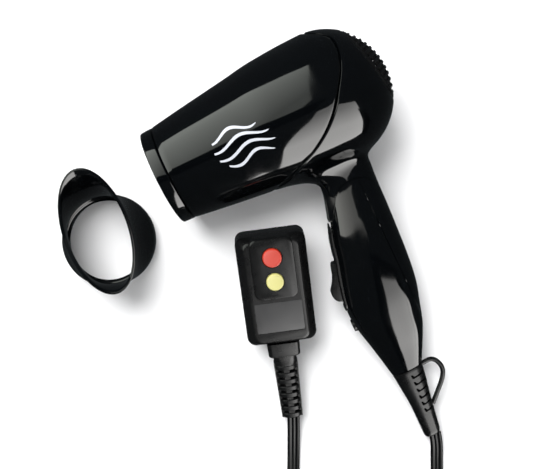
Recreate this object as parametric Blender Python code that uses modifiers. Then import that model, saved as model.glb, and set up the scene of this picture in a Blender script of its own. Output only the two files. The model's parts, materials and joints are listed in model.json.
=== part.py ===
"""A folding travel hair dryer with its concentrator nozzle, its cord and its plug, lying on a flat surface.

Lengths are in millimetres and turned into metres where a mesh or a place is made. The dryer's own frame has
its origin at the centre of the round rear of the barrel, +X along the barrel to the nozzle, +Y towards the
handle and +Z out of the side that faces up. The whole dryer leans on its rear, its nozzle rim and its cord
guard. The plug and the concentrator have frames of their own.
"""

import math

import bmesh
import bpy
from mathutils import Euler, Matrix, Vector

MM = 0.001
GAP = 0.35                      # clearance between pieces that meet

# Where things lie
DRYER_AT = (42.5, 80.8, 39.6)
DRYER_TURN = (-8.94, 3.7, 205.85)       # degrees
PLUG_AT = (13.8, -28.3, 26.6)
PLUG_TURN = (14.1, 0.0, 7.5)
CONCENTRATOR_AT = (-87.4, -1.2, 0.0)
CONCENTRATOR_YAW = 106.9

# Barrel
REAR_RADIUS = 38.9
WALL = 2.2
BARREL = (
    (97.4, 28.8), (91.9, 29.6), (75.3, 31.9), (49.9, 35.1), (33.3, 37.4), (14.7, 38.6), (0.0, REAR_RADIUS),
)
RING_FRONT = 105.2
RING_BACK = 97.8
RING_OUTER = 28.8
RING_BORE = 24.8
SPIGOT_RADIUS = 26.2            # the ring's neck, which slides into the barrel
SPIGOT_END = 92.0
SEAM = (
    (58, 38), (28.7, 26.1), (13, 17.4), (1.4, 7), (-6, -3), (-12.5, -13), (-16, -23), (-14.8, -31), (-3, -39.5),
)
SEAM_GROOVE = 0.6
GRILLE_TILT = 12.6              # the grille's axis leans away from the handle
GRILLE_HALF_ANGLE = 40.0
GRILLE_WALL = 2.0
GRILLE_PITCH = 5.6
GRILLE_SLOT = 2.6
BARREL_STEPS = 32

# Fold hinge
PIVOT = (8.5, 61.2, 0.0)
DOME = 14.0                     # round top of the handle's ears
CUP = 14.4                      # hollow of the neck that the ears turn in
TONGUE = 12.0
LOBE = 19.5                     # front of the tongue, which closes the gap between neck and handle
POCKET = 20.4
TONGUE_HALF = 7.5
EAR_INNER = 8.6
WASHER = 0.5
PIN_RADIUS = 1.45
PIN_HALF = 12.7
NECK_END_ANGLE = -50.0          # degrees from +X towards +Y, about the pivot
LOBE_END_ANGLE = 15.0
SHOULDER_ANGLE = 15.5
FRONT_WALL_ANGLE = 27.0
POCKET_END_ANGLE = 80.0

# Stem of neck and handle: Y, back X, front X, half thickness
STEM = (
    (30, -14, 40, 19), (38, -9.4, 34, 16.5), (42.5, -7.8, 27.4, 15.3), (49.3, -6.9, 25.4, 15),
    (60, -6.3, 27.6, 15.4), (68.2, -6.1, 30, 15.9), (76.6, -5.7, 32.7, 16.3), (87.5, -5.1, 35.4, 16.8),
    (99.2, -4.4, 38.7, 17.1), (112, -3.2, 41.9, 17), (122, -1.5, 43, 16.5), (132.9, 1.6, 41.9, 15),
    (143.8, 4.7, 39.6, 13), (154, 9.3, 37.6, 11), (166.2, 15.5, 35.4, 9),
)
STEM_POWER = 2.5                # 2 is an ellipse, more is squarer
STEM_POINTS = 20
HANDLE_WALL = 2.2
HANDLE_BOTTOM = 166.2
PARTING_X = 4.0                 # plane between the handle's front shell and back cover
SCREWS = (("upper", 80.5, -5.5, 32.8), ("lower", 118.0, -2.3, 41.5))    # label, Y, back face X, front wall X
BOSS_RADIUS = 3.4
SHANK_HOLE_RADIUS = 1.6
HEAD_HOLE_RADIUS = 2.9

# Rocker switch and voltage selector
ROCKER_PIVOT = (34.0, 99.5, 0.0)
ROCKER = (
    (31, 93.5), (37, 88.6), (39.4, 88.9), (41.2, 95), (47.3, 105.1), (46.2, 109.7), (42.2, 112.2), (31, 106),
)
ROCKER_HALF = 5.0
SWITCH_HOLE = ((28.5, 85.9, -5.6), (60.0, 115.4, 5.6))
BEZEL_HALF = 8.4
SELECTOR_Y = 129.1
SELECTOR_RADIUS = 3.9
SELECTOR_OUT = 43.9

# Plug
PLUG_HALF = 20.5
PLUG_REACH = 33.0
PRONG_X = 6.35
PRONG_Y = 16.4
PRONG_TIP = -30.5
TEST_Y = 21.3
TEST_RADIUS = 5.6
RESET_Y = 6.9
RESET_RADIUS = 5.1

# Cord guard, in rows like the stem's, and the hanging loop between it and the handle's end
GUARD = (
    (HANDLE_BOTTOM + GAP, 15.8, 35.2, 8.8), (176, 17.3, 34.4, 8.1), (190, 20, 33.4, 6.6), (212, 23.6, 33.6, 4.8),
)
GUARD_NOTCHES = 5
GUARD_FIRST_NOTCH = 171.5
GUARD_PITCH = 4.2
LOOP = ((14.8, 168.1, 0), (9.4, 169.7, 0), (6.4, 175, 0), (8.2, 180.8, 0), (14, 186.2, 0), (17.9, 189.3, 0))
LOOP_RADIUS = 1.35

# Concentrator
COLLAR_RADIUS = 27.9
COLLAR_BORE = 24.8
COLLAR_LEDGE = 9.0              # height of the step inside the collar
COLLAR_HEIGHT = 11.0
MOUTH_REACH = 37.5              # half of the mouth's long way
MOUTH_HALF = 19.5
MOUTH_HEIGHT = 42.5
MOUTH_SLANT = 7.5               # rise of the mouth's one end, and fall of the other
MOUTH_SHIFT = 5.0
MOUTH_WALL = 1.8

# Cord
CORD_RADIUS = 1.8
COIL_CENTRE = (69.0, -195.8)
COIL_OUTER = 46.0
COIL_INNER = 27.6
COIL_HEIGHT = 15.6
TIE_WIDTH = 7.0


# ---------------------------------------------------------------- helpers

def collection(name):
    found = bpy.data.collections.new(name)
    bpy.context.scene.collection.children.link(found)
    return found


def material(name, colour, roughness, metallic=0.0):
    made = bpy.data.materials.new(name)
    made.use_nodes = True
    shader = made.node_tree.nodes["Principled BSDF"]
    shader.inputs["Base Color"].default_value = (*colour, 1.0)
    shader.inputs["Roughness"].default_value = roughness
    shader.inputs["Metallic"].default_value = metallic
    return made


class Frame:
    """An empty on a joint's axis, or at an assembly's origin. Its pieces keep their assembly's coordinates."""

    def __init__(self, name, origin=(0, 0, 0), turn=(0, 0, 0), parent=None):
        self.origin = Vector(origin)
        self.empty = bpy.data.objects.new(name, None)
        PARTS.objects.link(self.empty)
        self.empty.rotation_euler = Euler([math.radians(angle) for angle in turn])
        if parent is None:
            self.empty.location = self.origin * MM
            self.offset = Vector()
        else:
            self.empty.parent = parent.empty
            self.empty.location = (self.origin - parent.offset) * MM
            self.offset = self.origin

    def hold(self, piece, at=(0, 0, 0)):
        piece.parent = self.empty
        piece.location = (Vector(at) - self.offset) * MM
        return piece


def link(name, data, finish=None):
    """A new object: a part when it has a finish, or a cutter."""
    piece = bpy.data.objects.new(name, data)
    if finish is None:
        CUTTERS.objects.link(piece)
        piece.hide_render = True
        piece.display_type = "WIRE"
    else:
        PARTS.objects.link(piece)
        data.materials.append(finish)
    return piece


def mesh_object(name, bm, finish):
    bmesh.ops.recalc_face_normals(bm, faces=bm.faces)
    bmesh.ops.scale(bm, vec=(MM, MM, MM), verts=bm.verts)
    data = bpy.data.meshes.new(name)
    bm.to_mesh(data)
    bm.free()
    return link(name, data, finish)


def drill(piece, name, start, end, radius, frame, sides=16, operation="DIFFERENCE"):
    """A round hole between two points, or a round boss when the operation is a union."""
    return combine(piece, rod(name, start, end, radius, None, frame, sides), operation)


def box(name, low, high, finish, frame):
    bm = bmesh.new()
    bmesh.ops.create_cube(bm, size=1.0)
    size = Vector(high) - Vector(low)
    bmesh.ops.scale(bm, vec=size, verts=bm.verts)
    bmesh.ops.translate(bm, vec=(Vector(high) + Vector(low)) / 2, verts=bm.verts)
    return frame.hold(mesh_object(name, bm, finish))


def rod(name, start, end, radius, finish, frame, sides=16, end_radius=None):
    """A cylinder, or a cone, between two points."""
    along = Vector(end) - Vector(start)
    turn = along.to_track_quat("Z", "Y").to_matrix().to_4x4()
    place = Matrix.Translation((Vector(start) + Vector(end)) / 2) @ turn
    bm = bmesh.new()
    last = radius if end_radius is None else end_radius
    bmesh.ops.create_cone(
        bm, cap_ends=True, segments=sides, radius1=radius, radius2=last, depth=along.length, matrix=place
    )
    return frame.hold(mesh_object(name, bm, finish))


def turned(name, profile, finish, frame, direction=(1, 0, 0), at=(0, 0, 0), steps=24):
    """A turned solid. The profile is (radius, height), down its outer side; height runs along direction."""
    data = bpy.data.meshes.new(name)
    points = [(radius * MM, 0.0, height * MM) for radius, height in profile]
    count = len(points)
    solid_core = profile[0][0] == 0 and profile[-1][0] == 0
    edges = [(i, i + 1) for i in range(count - 1)]
    if not solid_core:
        edges.append((count - 1, 0))
    data.from_pydata(points, edges, [])
    piece = link(name, data, finish)
    screw = piece.modifiers.new("turn", "SCREW")
    screw.steps = screw.render_steps = steps
    screw.use_merge_vertices = True
    screw.merge_threshold = 0.00002
    piece.rotation_euler = Vector(direction).to_track_quat("Z", "Y").to_euler()
    return frame.hold(piece, at)


def loft(name, rings, finish, frame, round_trip=False):
    """A solid through rings of equal length. A round trip joins the last ring to the first, and has no ends."""
    bm = bmesh.new()
    rows = [[bm.verts.new(point) for point in ring] for ring in rings]
    pairs = list(zip(rows, rows[1:]))
    if round_trip:
        pairs.append((rows[-1], rows[0]))
    else:
        bm.faces.new(rows[0])
        bm.faces.new(rows[-1])
    for here, after in pairs:
        for i in range(len(here)):
            j = (i + 1) % len(here)
            bm.faces.new((here[i], here[j], after[j], after[i]))
    return frame.hold(mesh_object(name, bm, finish))


def plate(name, outlines, thickness, finish, frame, at=(0, 0, 0), turn=(0, 0, 0)):
    """A flat solid from its outline and those of its holes, as a plain mesh. Thickness is centred on Z."""
    flat = bpy.data.curves.new(name, "CURVE")
    flat.dimensions = "2D"
    flat.fill_mode = "BOTH"
    flat.extrude = thickness / 2 * MM
    for outline in outlines:
        spline = flat.splines.new("POLY")
        spline.points.add(len(outline) - 1)
        for point, (x, y) in zip(spline.points, outline):
            point.co = (x * MM, y * MM, 0.0, 1.0)
        spline.use_cyclic_u = True
    piece = meshed_curve(name, flat, finish)
    piece.rotation_euler = Euler([math.radians(angle) for angle in turn])
    return frame.hold(piece, at)


def meshed_curve(name, curve, finish):
    """A curve's solid as a welded mesh, which can be cut."""
    source = bpy.data.objects.new(name + "_curve", curve)
    CUTTERS.objects.link(source)
    seen = source.evaluated_get(bpy.context.evaluated_depsgraph_get())
    data = bpy.data.meshes.new_from_object(seen)
    bpy.data.objects.remove(source)
    bm = bmesh.new()
    bm.from_mesh(data)
    bmesh.ops.remove_doubles(bm, verts=bm.verts, dist=0.00001)
    bmesh.ops.recalc_face_normals(bm, faces=bm.faces)
    bm.to_mesh(data)
    bm.free()
    data.name = name
    data.materials.clear()
    return link(name, data, finish)


def tube(name, points, radius, finish, frame=None, resolution=2):
    """A round solid along points, as a curve."""
    curve = bpy.data.curves.new(name, "CURVE")
    curve.dimensions = "3D"
    curve.bevel_depth = radius * MM
    curve.bevel_resolution = resolution
    curve.use_fill_caps = True
    curve.resolution_u = 1
    curve.render_resolution_u = 0
    spline = curve.splines.new("POLY")
    spline.points.add(len(points) - 1)
    for point, place in zip(spline.points, points):
        point.co = (*(Vector(place) * MM), 1.0)
    piece = link(name, curve, finish)
    return piece if frame is None else frame.hold(piece)


def combine(piece, other, operation="DIFFERENCE"):
    step = piece.modifiers.new(operation.lower(), "BOOLEAN")
    step.operation = operation
    step.object = other
    return piece


def smooth_path(points, spacing):
    """Points at about equal spacing along a Catmull-Rom curve through the given ones."""
    guide = [Vector(point) for point in points]
    guide = [guide[0] * 2 - guide[1], *guide, guide[-1] * 2 - guide[-2]]
    fine = []
    for a, b, c, d in zip(guide, guide[1:], guide[2:], guide[3:]):
        for step in range(20):
            t = step / 20
            second = (2 * a - 5 * b + 4 * c - d) * t**2
            third = (3 * b - a - 3 * c + d) * t**3
            fine.append(0.5 * (2 * b + (c - a) * t + second + third))
    fine.append(guide[-2])
    total = sum((b - a).length for a, b in zip(fine, fine[1:]))
    count = max(2, round(total / spacing))
    found = [fine[0]]
    walked = 0.0
    for a, b in zip(fine, fine[1:]):
        length = (b - a).length
        while len(found) < count and walked + length >= total * len(found) / count:
            found.append(a.lerp(b, (total * len(found) / count - walked) / length))
        walked += length
    return [*found, fine[-1]]


def offset_path(points, distance):
    """A flat path moved sideways, to the left of its direction."""
    moved = []
    for i, point in enumerate(points):
        before = Vector(points[max(i - 1, 0)])
        after = Vector(points[min(i + 1, len(points) - 1)])
        along = (after - before).normalized()
        moved.append((point[0] - along.y * distance, point[1] + along.x * distance))
    return moved


def circle(radius, centre=(0, 0), count=24, start=0.0, end=360.0):
    """Points of an arc, or of a full circle without its repeated end."""
    whole = abs(end - start) >= 360.0
    angles = [math.radians(start + (end - start) * i / (count if whole else count - 1)) for i in range(count)]
    return [(centre[0] + radius * math.cos(a), centre[1] + radius * math.sin(a)) for a in angles]


def about_pivot(radius, angle):
    """A point in the dryer's side view, at an angle in degrees from +X towards +Y about the fold pivot."""
    return circle(radius, PIVOT[:2], 2, angle, angle + 1)[0]


# ---------------------------------------------------------------- barrel

def skin_profile(inset, first_x):
    """Outer outline of the barrel, as (radius, x), from the front to the rear tip."""
    front = [(radius - inset, x) for x, radius in BARREL if x < first_x]
    front.insert(0, (BARREL[0][1] - inset, first_x))
    round_rear = [((REAR_RADIUS - inset) * math.cos(a), -(REAR_RADIUS - inset) * math.sin(a))
                  for a in (math.radians(90 * i / 9) for i in range(1, 9))]
    return [*front, *round_rear, (0.0, -(REAR_RADIUS - inset))]


def barrel_skin(name, finish, frame):
    outer = skin_profile(0.0, BARREL[0][0])
    inner = skin_profile(WALL, BARREL[0][0])
    return turned(name, outer + inner[::-1], finish, frame, steps=BARREL_STEPS)


def seam_region(name, distance, frame):
    """The side-view region in front of the seam, through the whole width."""
    edge = offset_path(SEAM, distance)
    corners = [(-3, -60), (130, -60), (130, 60), (75, 60)]
    return plate(name, [edge + corners], 90, None, frame)


def stem_ring(y, back, front, half, inset=0.0):
    middle = (back + front) / 2
    reach = (front - back) / 2 - inset
    ring = []
    for i in range(STEM_POINTS):
        angle = 2 * math.pi * i / STEM_POINTS
        c, s = math.cos(angle), math.sin(angle)
        x = math.copysign(abs(c) ** (2 / STEM_POWER), c) * reach
        z = math.copysign(abs(s) ** (2 / STEM_POWER), s) * (half - inset)
        ring.append((middle + x, y, z))
    return ring


def stem(name, low, high, inset, frame):
    """The common outer form of neck and handle between two heights, as a solid."""
    rows = [row for row in STEM if low <= row[0] <= high]
    return loft(name, [stem_ring(*row, inset) for row in rows], None, frame)


def rear_housing(finish, frame):
    whole = [(0.0, BARREL[0][0]), *skin_profile(0.0, BARREL[0][0])]
    housing = turned("rear_housing", whole, finish, frame, steps=BARREL_STEPS)
    combine(housing, stem("neck_form", 30, 60, 0.0, frame), "UNION")
    deep = [(0.0, 90.0), *skin_profile(WALL, 90.0)]
    hollow = turned("barrel_hollow", deep, None, frame, steps=BARREL_STEPS)
    combine(housing, hollow)
    combine(housing, seam_region("seam_cut_rear", -SEAM_GROOVE, frame))
    far = 60.0
    lean = math.radians(GRILLE_TILT)
    axis = Vector((-math.cos(lean), -math.sin(lean), 0))
    wide = far * math.tan(math.radians(GRILLE_HALF_ANGLE))
    combine(housing, rod("grille_opening", (0, 0, 0), axis * far, 0.01, None, frame, 40, wide))
    below = [about_pivot(90, NECK_END_ANGLE), about_pivot(90, 60), about_pivot(90, 182), PIVOT[:2]]
    combine(housing, plate("below_neck", [below], 60, None, frame))
    for side in (-1, 1):
        near = side * (TONGUE_HALF + 0.1)
        room = rod(f"ear_room{side}", (*PIVOT[:2], near), (*PIVOT[:2], side * 30), CUP, None, frame, 40)
        combine(housing, room)
    tongue = [
        *circle(TONGUE, PIVOT[:2], 16, LOBE_END_ANGLE + 25, 200),
        (-1.5, 50), (0, 40), (20, 40), about_pivot(LOBE + 1.5, NECK_END_ANGLE),
        *circle(LOBE, PIVOT[:2], 9, NECK_END_ANGLE + 2, LOBE_END_ANGLE),
    ]
    combine(housing, plate("tongue_form", [tongue], 2 * TONGUE_HALF, None, frame), "UNION")
    drill(housing, "tongue_bore", (*PIVOT[:2], -20), (*PIVOT[:2], 20), PIN_RADIUS + 0.3, frame, 20)
    return housing


def front_barrel_shell(finish, frame):
    shell = barrel_skin("front_barrel_shell", finish, frame)
    return combine(shell, seam_region("seam_cut_front", 0.0, frame), "INTERSECT")


def nozzle_ring(finish, frame):
    profile = [
        (RING_OUTER - 0.3, RING_FRONT), (RING_OUTER, RING_BACK), (SPIGOT_RADIUS, RING_BACK),
        (SPIGOT_RADIUS, SPIGOT_END), (RING_BORE, SPIGOT_END), (RING_BORE, RING_FRONT),
    ]
    return turned("nozzle_ring", profile, finish, frame, steps=BARREL_STEPS)


def intake_grille(finish, frame):
    """A dome with rows of slots across it."""
    edge = math.radians(GRILLE_HALF_ANGLE - 0.6)
    outer, inner = REAR_RADIUS, REAR_RADIUS - GRILLE_WALL
    angles = [edge * i / 4 for i in range(5)]
    profile = [(outer * math.sin(a), outer * math.cos(a)) for a in angles]
    profile += [(inner * math.sin(a), inner * math.cos(a)) for a in reversed(angles)]
    profile[0] = (0.0, outer)
    profile[-1] = (0.0, inner)
    lean = math.radians(GRILLE_TILT)
    axis = Vector((-math.cos(lean), -math.sin(lean), 0))
    dome = turned("intake_grille", profile, finish, frame, direction=axis, steps=28)
    across = Vector((-axis.y, axis.x, 0))
    bm = bmesh.new()
    for row in range(-3, 4):
        reach = math.sqrt(21.0**2 - (row * GRILLE_PITCH) ** 2)
        for side in (-1, 1):
            middle = axis * 34 + across * row * GRILLE_PITCH + Vector((0, 0, side * (reach / 2 + 0.8)))
            slot = bmesh.ops.create_cube(bm, size=1.0)["verts"]
            basis = Matrix((axis * 30, across * GRILLE_SLOT, Vector((0, 0, reach - 2.0)))).transposed().to_4x4()
            bmesh.ops.transform(bm, matrix=Matrix.Translation(middle) @ basis, verts=slot)
    combine(dome, frame.hold(mesh_object("grille_slots", bm, None)))
    return dome


def wheel(name, x, thickness, radii, spokes, spoke_width, finish, frame, outer, bore=None):
    """A flat wheel across the barrel: an outer disc with rings of openings between its spokes."""
    outlines = [circle(outer, count=32)]
    if bore:
        outlines.append(circle(bore, count=16))
    for inner_edge, outer_edge in radii:
        for i in range(spokes):
            middle = 360 * i / spokes
            near = 180 / spokes - math.degrees(spoke_width / 2 / inner_edge)
            far = 180 / spokes - math.degrees(spoke_width / 2 / outer_edge)
            opening = circle(outer_edge, (0, 0), 5, middle - far, middle + far)
            opening += circle(inner_edge, (0, 0), 3, middle + near, middle - near)
            outlines.append(opening)
    return plate(name, outlines, thickness, finish, frame, at=(x, 0, 0), turn=(0, 90, 0))


def heater(mica, wire, metal, frame):
    front, back, middle, reach = 82.0, 32.0, 57.0, 18.4
    slot = 0.6
    turned("mica_sleeve", [(26.3, 86), (26.3, 28), (25.7, 28), (25.7, 86)], mica, frame, steps=24)
    forward = [(back, -reach), (front, -reach), (front, -slot), (middle, -slot), (middle, slot), (front, slot),
               (front, reach), (back, reach)]
    plate("mica_board_a", [forward], 0.6, mica, frame)
    turned_over = [(front + back - x, y) for x, y in forward]
    plate("mica_board_b", [[(x + 0.4, y) for x, y in turned_over]], 0.6, mica, frame, turn=(90, 0, 0))
    turns, radius, per_turn = 4, 20.4, 12
    coil = [(36 + 42 * i / (turns * per_turn), radius * math.cos(2 * math.pi * i / per_turn),
             radius * math.sin(2 * math.pi * i / per_turn)) for i in range(turns * per_turn + 1)]
    tube("heating_coil", coil, 0.8, wire, frame, resolution=1)
    rod("thermostat", (40, 9.5, 0.9), (40, 9.5, 5.6), 4.0, metal, frame, 14)
    rod("thermal_fuse", (62, -8.5, 3.2), (74, -8.5, 3.2), 1.9, metal, frame, 10)


def motor_and_fan(plastic, metal, frame, fan):
    can = [(0, 22), (4, 22), (4, 20), (12, 20), (12, -3), (4, -3), (4, -5), (0, -5)]
    turned("motor_can", can, metal, frame)
    wheel("motor_mount", 8, 9, [(14.5, 33.2)], 6, 2.2, plastic, frame, 35.6, 12.4)
    rod("motor_shaft", (-20.5, 0, 0), (-5.4, 0, 0), 1.2, metal, fan, 12)
    impeller = turned("fan_impeller", [(5, -19), (8, -17), (8, -9), (1.6, -9), (1.6, -19)], plastic, fan)
    bm = bmesh.new()
    blades = 7
    for i in range(blades):
        blade = bmesh.ops.create_cube(bm, size=1.0)["verts"]
        bmesh.ops.scale(bm, vec=(8.4, 1.3, 20.5), verts=blade)
        bmesh.ops.rotate(bm, matrix=Matrix.Rotation(math.radians(52), 3, "Z"), verts=blade)
        bmesh.ops.translate(bm, vec=(-13, 0, 17.4), verts=blade)
        bmesh.ops.rotate(bm, matrix=Matrix.Rotation(2 * math.pi * i / blades, 3, "X"), verts=blade)
    combine(impeller, fan.hold(mesh_object("fan_blades", bm, None)), "UNION")


# ---------------------------------------------------------------- handle

def handle_form(name, finish, frame):
    """The handle before it is parted: hollow, with two ears at the top and a pocket between them."""
    whole = loft(name, [stem_ring(*row) for row in STEM if row[0] >= 42], finish, frame)
    rows = [row for row in STEM if row[0] >= 76]
    rows[-1] = (HANDLE_BOTTOM - HANDLE_WALL, *rows[-1][1:])
    combine(whole, loft(name + "_hollow", [stem_ring(*row, HANDLE_WALL) for row in rows], None, frame))
    shoulder = about_pivot(DOME, SHOULDER_ANGLE)
    above = [
        (-20, PIVOT[1] - 0.4), (-20, 30), (60, 30), about_pivot(50, SHOULDER_ANGLE), shoulder,
        *circle(DOME, PIVOT[:2], 15, 10, -178),
    ]
    combine(whole, plate(name + "_above_ears", [above], 60, None, frame))
    pocket = [
        *circle(POCKET, PIVOT[:2], 12, POCKET_END_ANGLE, FRONT_WALL_ANGLE), about_pivot(50, FRONT_WALL_ANGLE),
        (50, 30), (-20, 30), about_pivot(30, 181), *circle(TONGUE + 0.5, PIVOT[:2], 10, 180, POCKET_END_ANGLE),
    ]
    combine(whole, plate(name + "_pocket", [pocket], 2 * EAR_INNER, None, frame))
    return whole


def half_space(name, back, frame):
    low, high = ((-60, 20), (PARTING_X - GAP / 2,)) if back else ((PARTING_X + GAP / 2, 20), (80,))
    return box(name, (low[0], 20, -40), (high[0], 180, 40), None, frame)


def handle_shells(finish, frame):
    front = handle_form("handle_front_shell", finish, frame)
    combine(front, half_space("front_half", False, frame), "INTERSECT")
    back = handle_form("handle_back_cover", finish, frame)
    combine(back, half_space("back_half", True, frame), "INTERSECT")
    for side in (-1, 1):
        low, high = sorted((side * 7.0, side * (PIN_HALF + 0.3)))
        drill(front, f"pin_bore{side}", (*PIVOT[:2], low), (*PIVOT[:2], high), PIN_RADIUS + 0.3, frame, 20)
    combine(front, box("switch_hole", *SWITCH_HOLE, None, frame))
    drill(front, "selector_hole", (30, SELECTOR_Y, 0), (50, SELECTOR_Y, 0), SELECTOR_RADIUS + 0.4, frame, 20)
    for label, y, face, wall in SCREWS:
        boss_end = (PARTING_X + 0.5, y, 0)
        drill(front, f"boss_{label}", boss_end, (wall, y, 0), BOSS_RADIUS, frame, operation="UNION")
        drill(front, f"pilot_{label}", (0, y, 0), (16, y, 0), SHANK_HOLE_RADIUS, frame, 12)
        drill(back, f"head_hole_{label}", (-20, y, 0), (face + 3.3, y, 0), HEAD_HOLE_RADIUS, frame)
        drill(back, f"shank_hole_{label}", (-10, y, 0), (10, y, 0), SHANK_HOLE_RADIUS, frame, 12)


def screws(metal, frame):
    for label, y, face, _ in SCREWS:
        top, under = -face - 1.3, -face - 2.4
        profile = [(0, top), (2.5, top), (2.5, under), (1.25, under), (1.25, -15.5), (0, -15.5)]
        turned(f"handle_screw_{label}", profile, metal, frame, direction=(-1, 0, 0), at=(0, y, 0), steps=12)


def fold_hinge(metal, frame):
    rod("hinge_pin", (*PIVOT[:2], -PIN_HALF), (*PIVOT[:2], PIN_HALF), PIN_RADIUS, metal, frame, 20)
    for label, side in (("upper", 1), ("lower", -1)):
        near = side * (TONGUE_HALF + 0.3)
        far = near + side * WASHER
        profile = [(5, max(near, far)), (5, min(near, far)), (1.8, min(near, far)), (1.8, max(near, far))]
        turned(f"hinge_washer_{label}", profile, metal, frame, direction=(0, 0, 1), at=PIVOT, steps=20)


def switch(plastic, frame, rocker_axis):
    box("switch_body", (12, 89, -7), (28.1, 111, 7), plastic, frame)
    plate("switch_rocker", [ROCKER], 2 * ROCKER_HALF, plastic, rocker_axis)
    rows = [row for row in STEM if 68 <= row[0] <= 123]
    bezel = loft("switch_bezel", [stem_ring(*row, -1.5) for row in rows], plastic, frame)
    combine(bezel, loft("bezel_inner", [stem_ring(*row, -GAP) for row in STEM if row[0] >= 60], None, frame))
    window = box("bezel_window", (20, 75.5, -BEZEL_HALF), (60, 118, BEZEL_HALF), None, frame)
    combine(bezel, window, "INTERSECT")
    combine(bezel, box("bezel_hole", *SWITCH_HOLE, None, frame))


def selector(plastic, frame, axis):
    box("voltage_switch_body", (21, 123, -6), (33, 135, 6), plastic, frame)
    start, end = (33.4, SELECTOR_Y, 0), (SELECTOR_OUT, SELECTOR_Y, 0)
    knob = rod("voltage_selector", start, end, SELECTOR_RADIUS, plastic, axis, 20)
    low, high = (SELECTOR_OUT - 1, SELECTOR_Y - 0.6, -2.6), (SELECTOR_OUT + 1, SELECTOR_Y + 0.6, 2.6)
    combine(knob, box("coin_slot", low, high, None, axis))


def cord_guard(rubber, plastic, frame):
    guard = loft("strain_relief", [stem_ring(*row) for row in GUARD], rubber, frame)
    bm = bmesh.new()
    for i in range(GUARD_NOTCHES):
        y = GUARD_FIRST_NOTCH + GUARD_PITCH * i
        notch = bmesh.ops.create_cube(bm, size=1.0)["verts"]
        bmesh.ops.scale(bm, vec=(9, 1.9, 30), verts=notch)
        bmesh.ops.translate(bm, vec=(15.2 + 0.17 * (y - 166), y, 0), verts=notch)
    combine(guard, frame.hold(mesh_object("guard_notches", bm, None)))
    tube("hanging_loop", smooth_path(LOOP, 3.2), LOOP_RADIUS, rubber, frame, resolution=1)
    box("cord_clamp", (19, 150, -6), (31, 156, 6), plastic, frame)


# ---------------------------------------------------------------- plug

def plug_ring(half_width, low, high, z, chamfer):
    """A rectangle with cut corners at one height of the plug."""
    w, c = half_width, chamfer
    return [(w - c, high, z), (w, high - c, z), (w, low + c, z), (w - c, low, z),
            (-w + c, low, z), (-w, low + c, z), (-w, high - c, z), (-w + c, high, z)]


def plug(plastic, brass, board, frame, test_axis, reset_axis):
    w, low, high = PLUG_HALF, -PLUG_REACH, PLUG_REACH
    rows = ((w, low, high, 0.2), (w, low, high, 5), (w - 4, low + 4, high - 2.5, 13.5))
    cover = loft("plug_front_cover", [plug_ring(*row, 4) for row in rows], plastic, frame)
    w, low, high = w - 2.5, low + 2.5, high - 2.5
    rows = ((w, low, high, -1), (w, low, high, 4.4), (w - 3.2, low + 3.5, high - 2.3, 11.4))
    combine(cover, loft("cover_hollow", [plug_ring(*row, 3) for row in rows], None, frame))
    w, low, high = PLUG_HALF, -PLUG_REACH, PLUG_REACH
    rows = ((w, low, high, -0.2), (w, low, high, -11), (w - 2, low + 2, high - 2, -13.5))
    case = loft("plug_rear_case", [plug_ring(*row, 4) for row in rows], plastic, frame)
    combine(case, box("case_hollow", (2.5 - w, low + 2.5, -11.3), (w - 2.5, high - 2.5, 1), None, frame))
    for label, x, wide in (("wide", -PRONG_X, 7.9), ("narrow", PRONG_X, 6.4)):
        low_y, high_y = PRONG_Y - wide / 2, PRONG_Y + wide / 2
        blade = box(f"plug_prong_{label}", (x - 0.75, low_y, PRONG_TIP), (x + 0.75, high_y, -8.0), brass, frame)
        hole_z = PRONG_TIP + 4
        drill(blade, f"prong_hole_{label}", (x - 3, PRONG_Y, hole_z), (x + 3, PRONG_Y, hole_z), 1.5, frame, 12)
        low, high = (x - 1.05, low_y - 0.3, -20), (x + 1.05, high_y + 0.3, 0)
        combine(case, box(f"prong_room_{label}", low, high, None, frame))
    buttons = (
        ("plug_test_button", TEST_Y, TEST_RADIUS, test_axis),
        ("plug_reset_button", RESET_Y, RESET_RADIUS, reset_axis),
    )
    for name, y, radius, axis in buttons:
        cap = [(0, 15.4), (radius - 0.8, 15.2), (radius, 14.4), (radius, 9.5)]
        post = [(1.6, 9.5), (1.6, 5.5), (0, 5.5)]
        turned(name, cap + post, BUTTON[name], axis, direction=(0, 0, 1), at=(0, y, 0), steps=20)
        combine(cover, rod(name + "_hole", (0, y, 5), (0, y, 30), radius + 0.35, None, frame, 24))
    box("plug_circuit_board", (-15, -24, 1.0), (15, 24, 2.6), board, frame)
    box("plug_relay", (-8, -22, -9), (8, -2, 0.6), plastic, frame)
    turned("plug_sensing_coil", [(7, 8.6), (7, 3.0), (3.4, 3.0), (3.4, 8.6)], brass, frame, direction=(0, 0, 1),
           at=(0, -16, 0), steps=16)
    guard = [(4.0, -33.35), (9.3, -33.35), (9.3, -41), (7.4, -43), (5.8, -52), (6.4, -56.5)]
    for i in range(6):
        y = -56.5 - 4.5 * i
        guard += [(6.5, y - 0.2), (6.5, y - 2.8), (5.2, y - 3.0), (5.2, y - 4.3)]
    guard += [(6.2, -83.5), (0, -83.5)]
    guard[0] = (0, -33.35)
    turned("plug_strain_relief", guard, plastic, frame, direction=(0, 1, 0), steps=12)


# ---------------------------------------------------------------- concentrator

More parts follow.
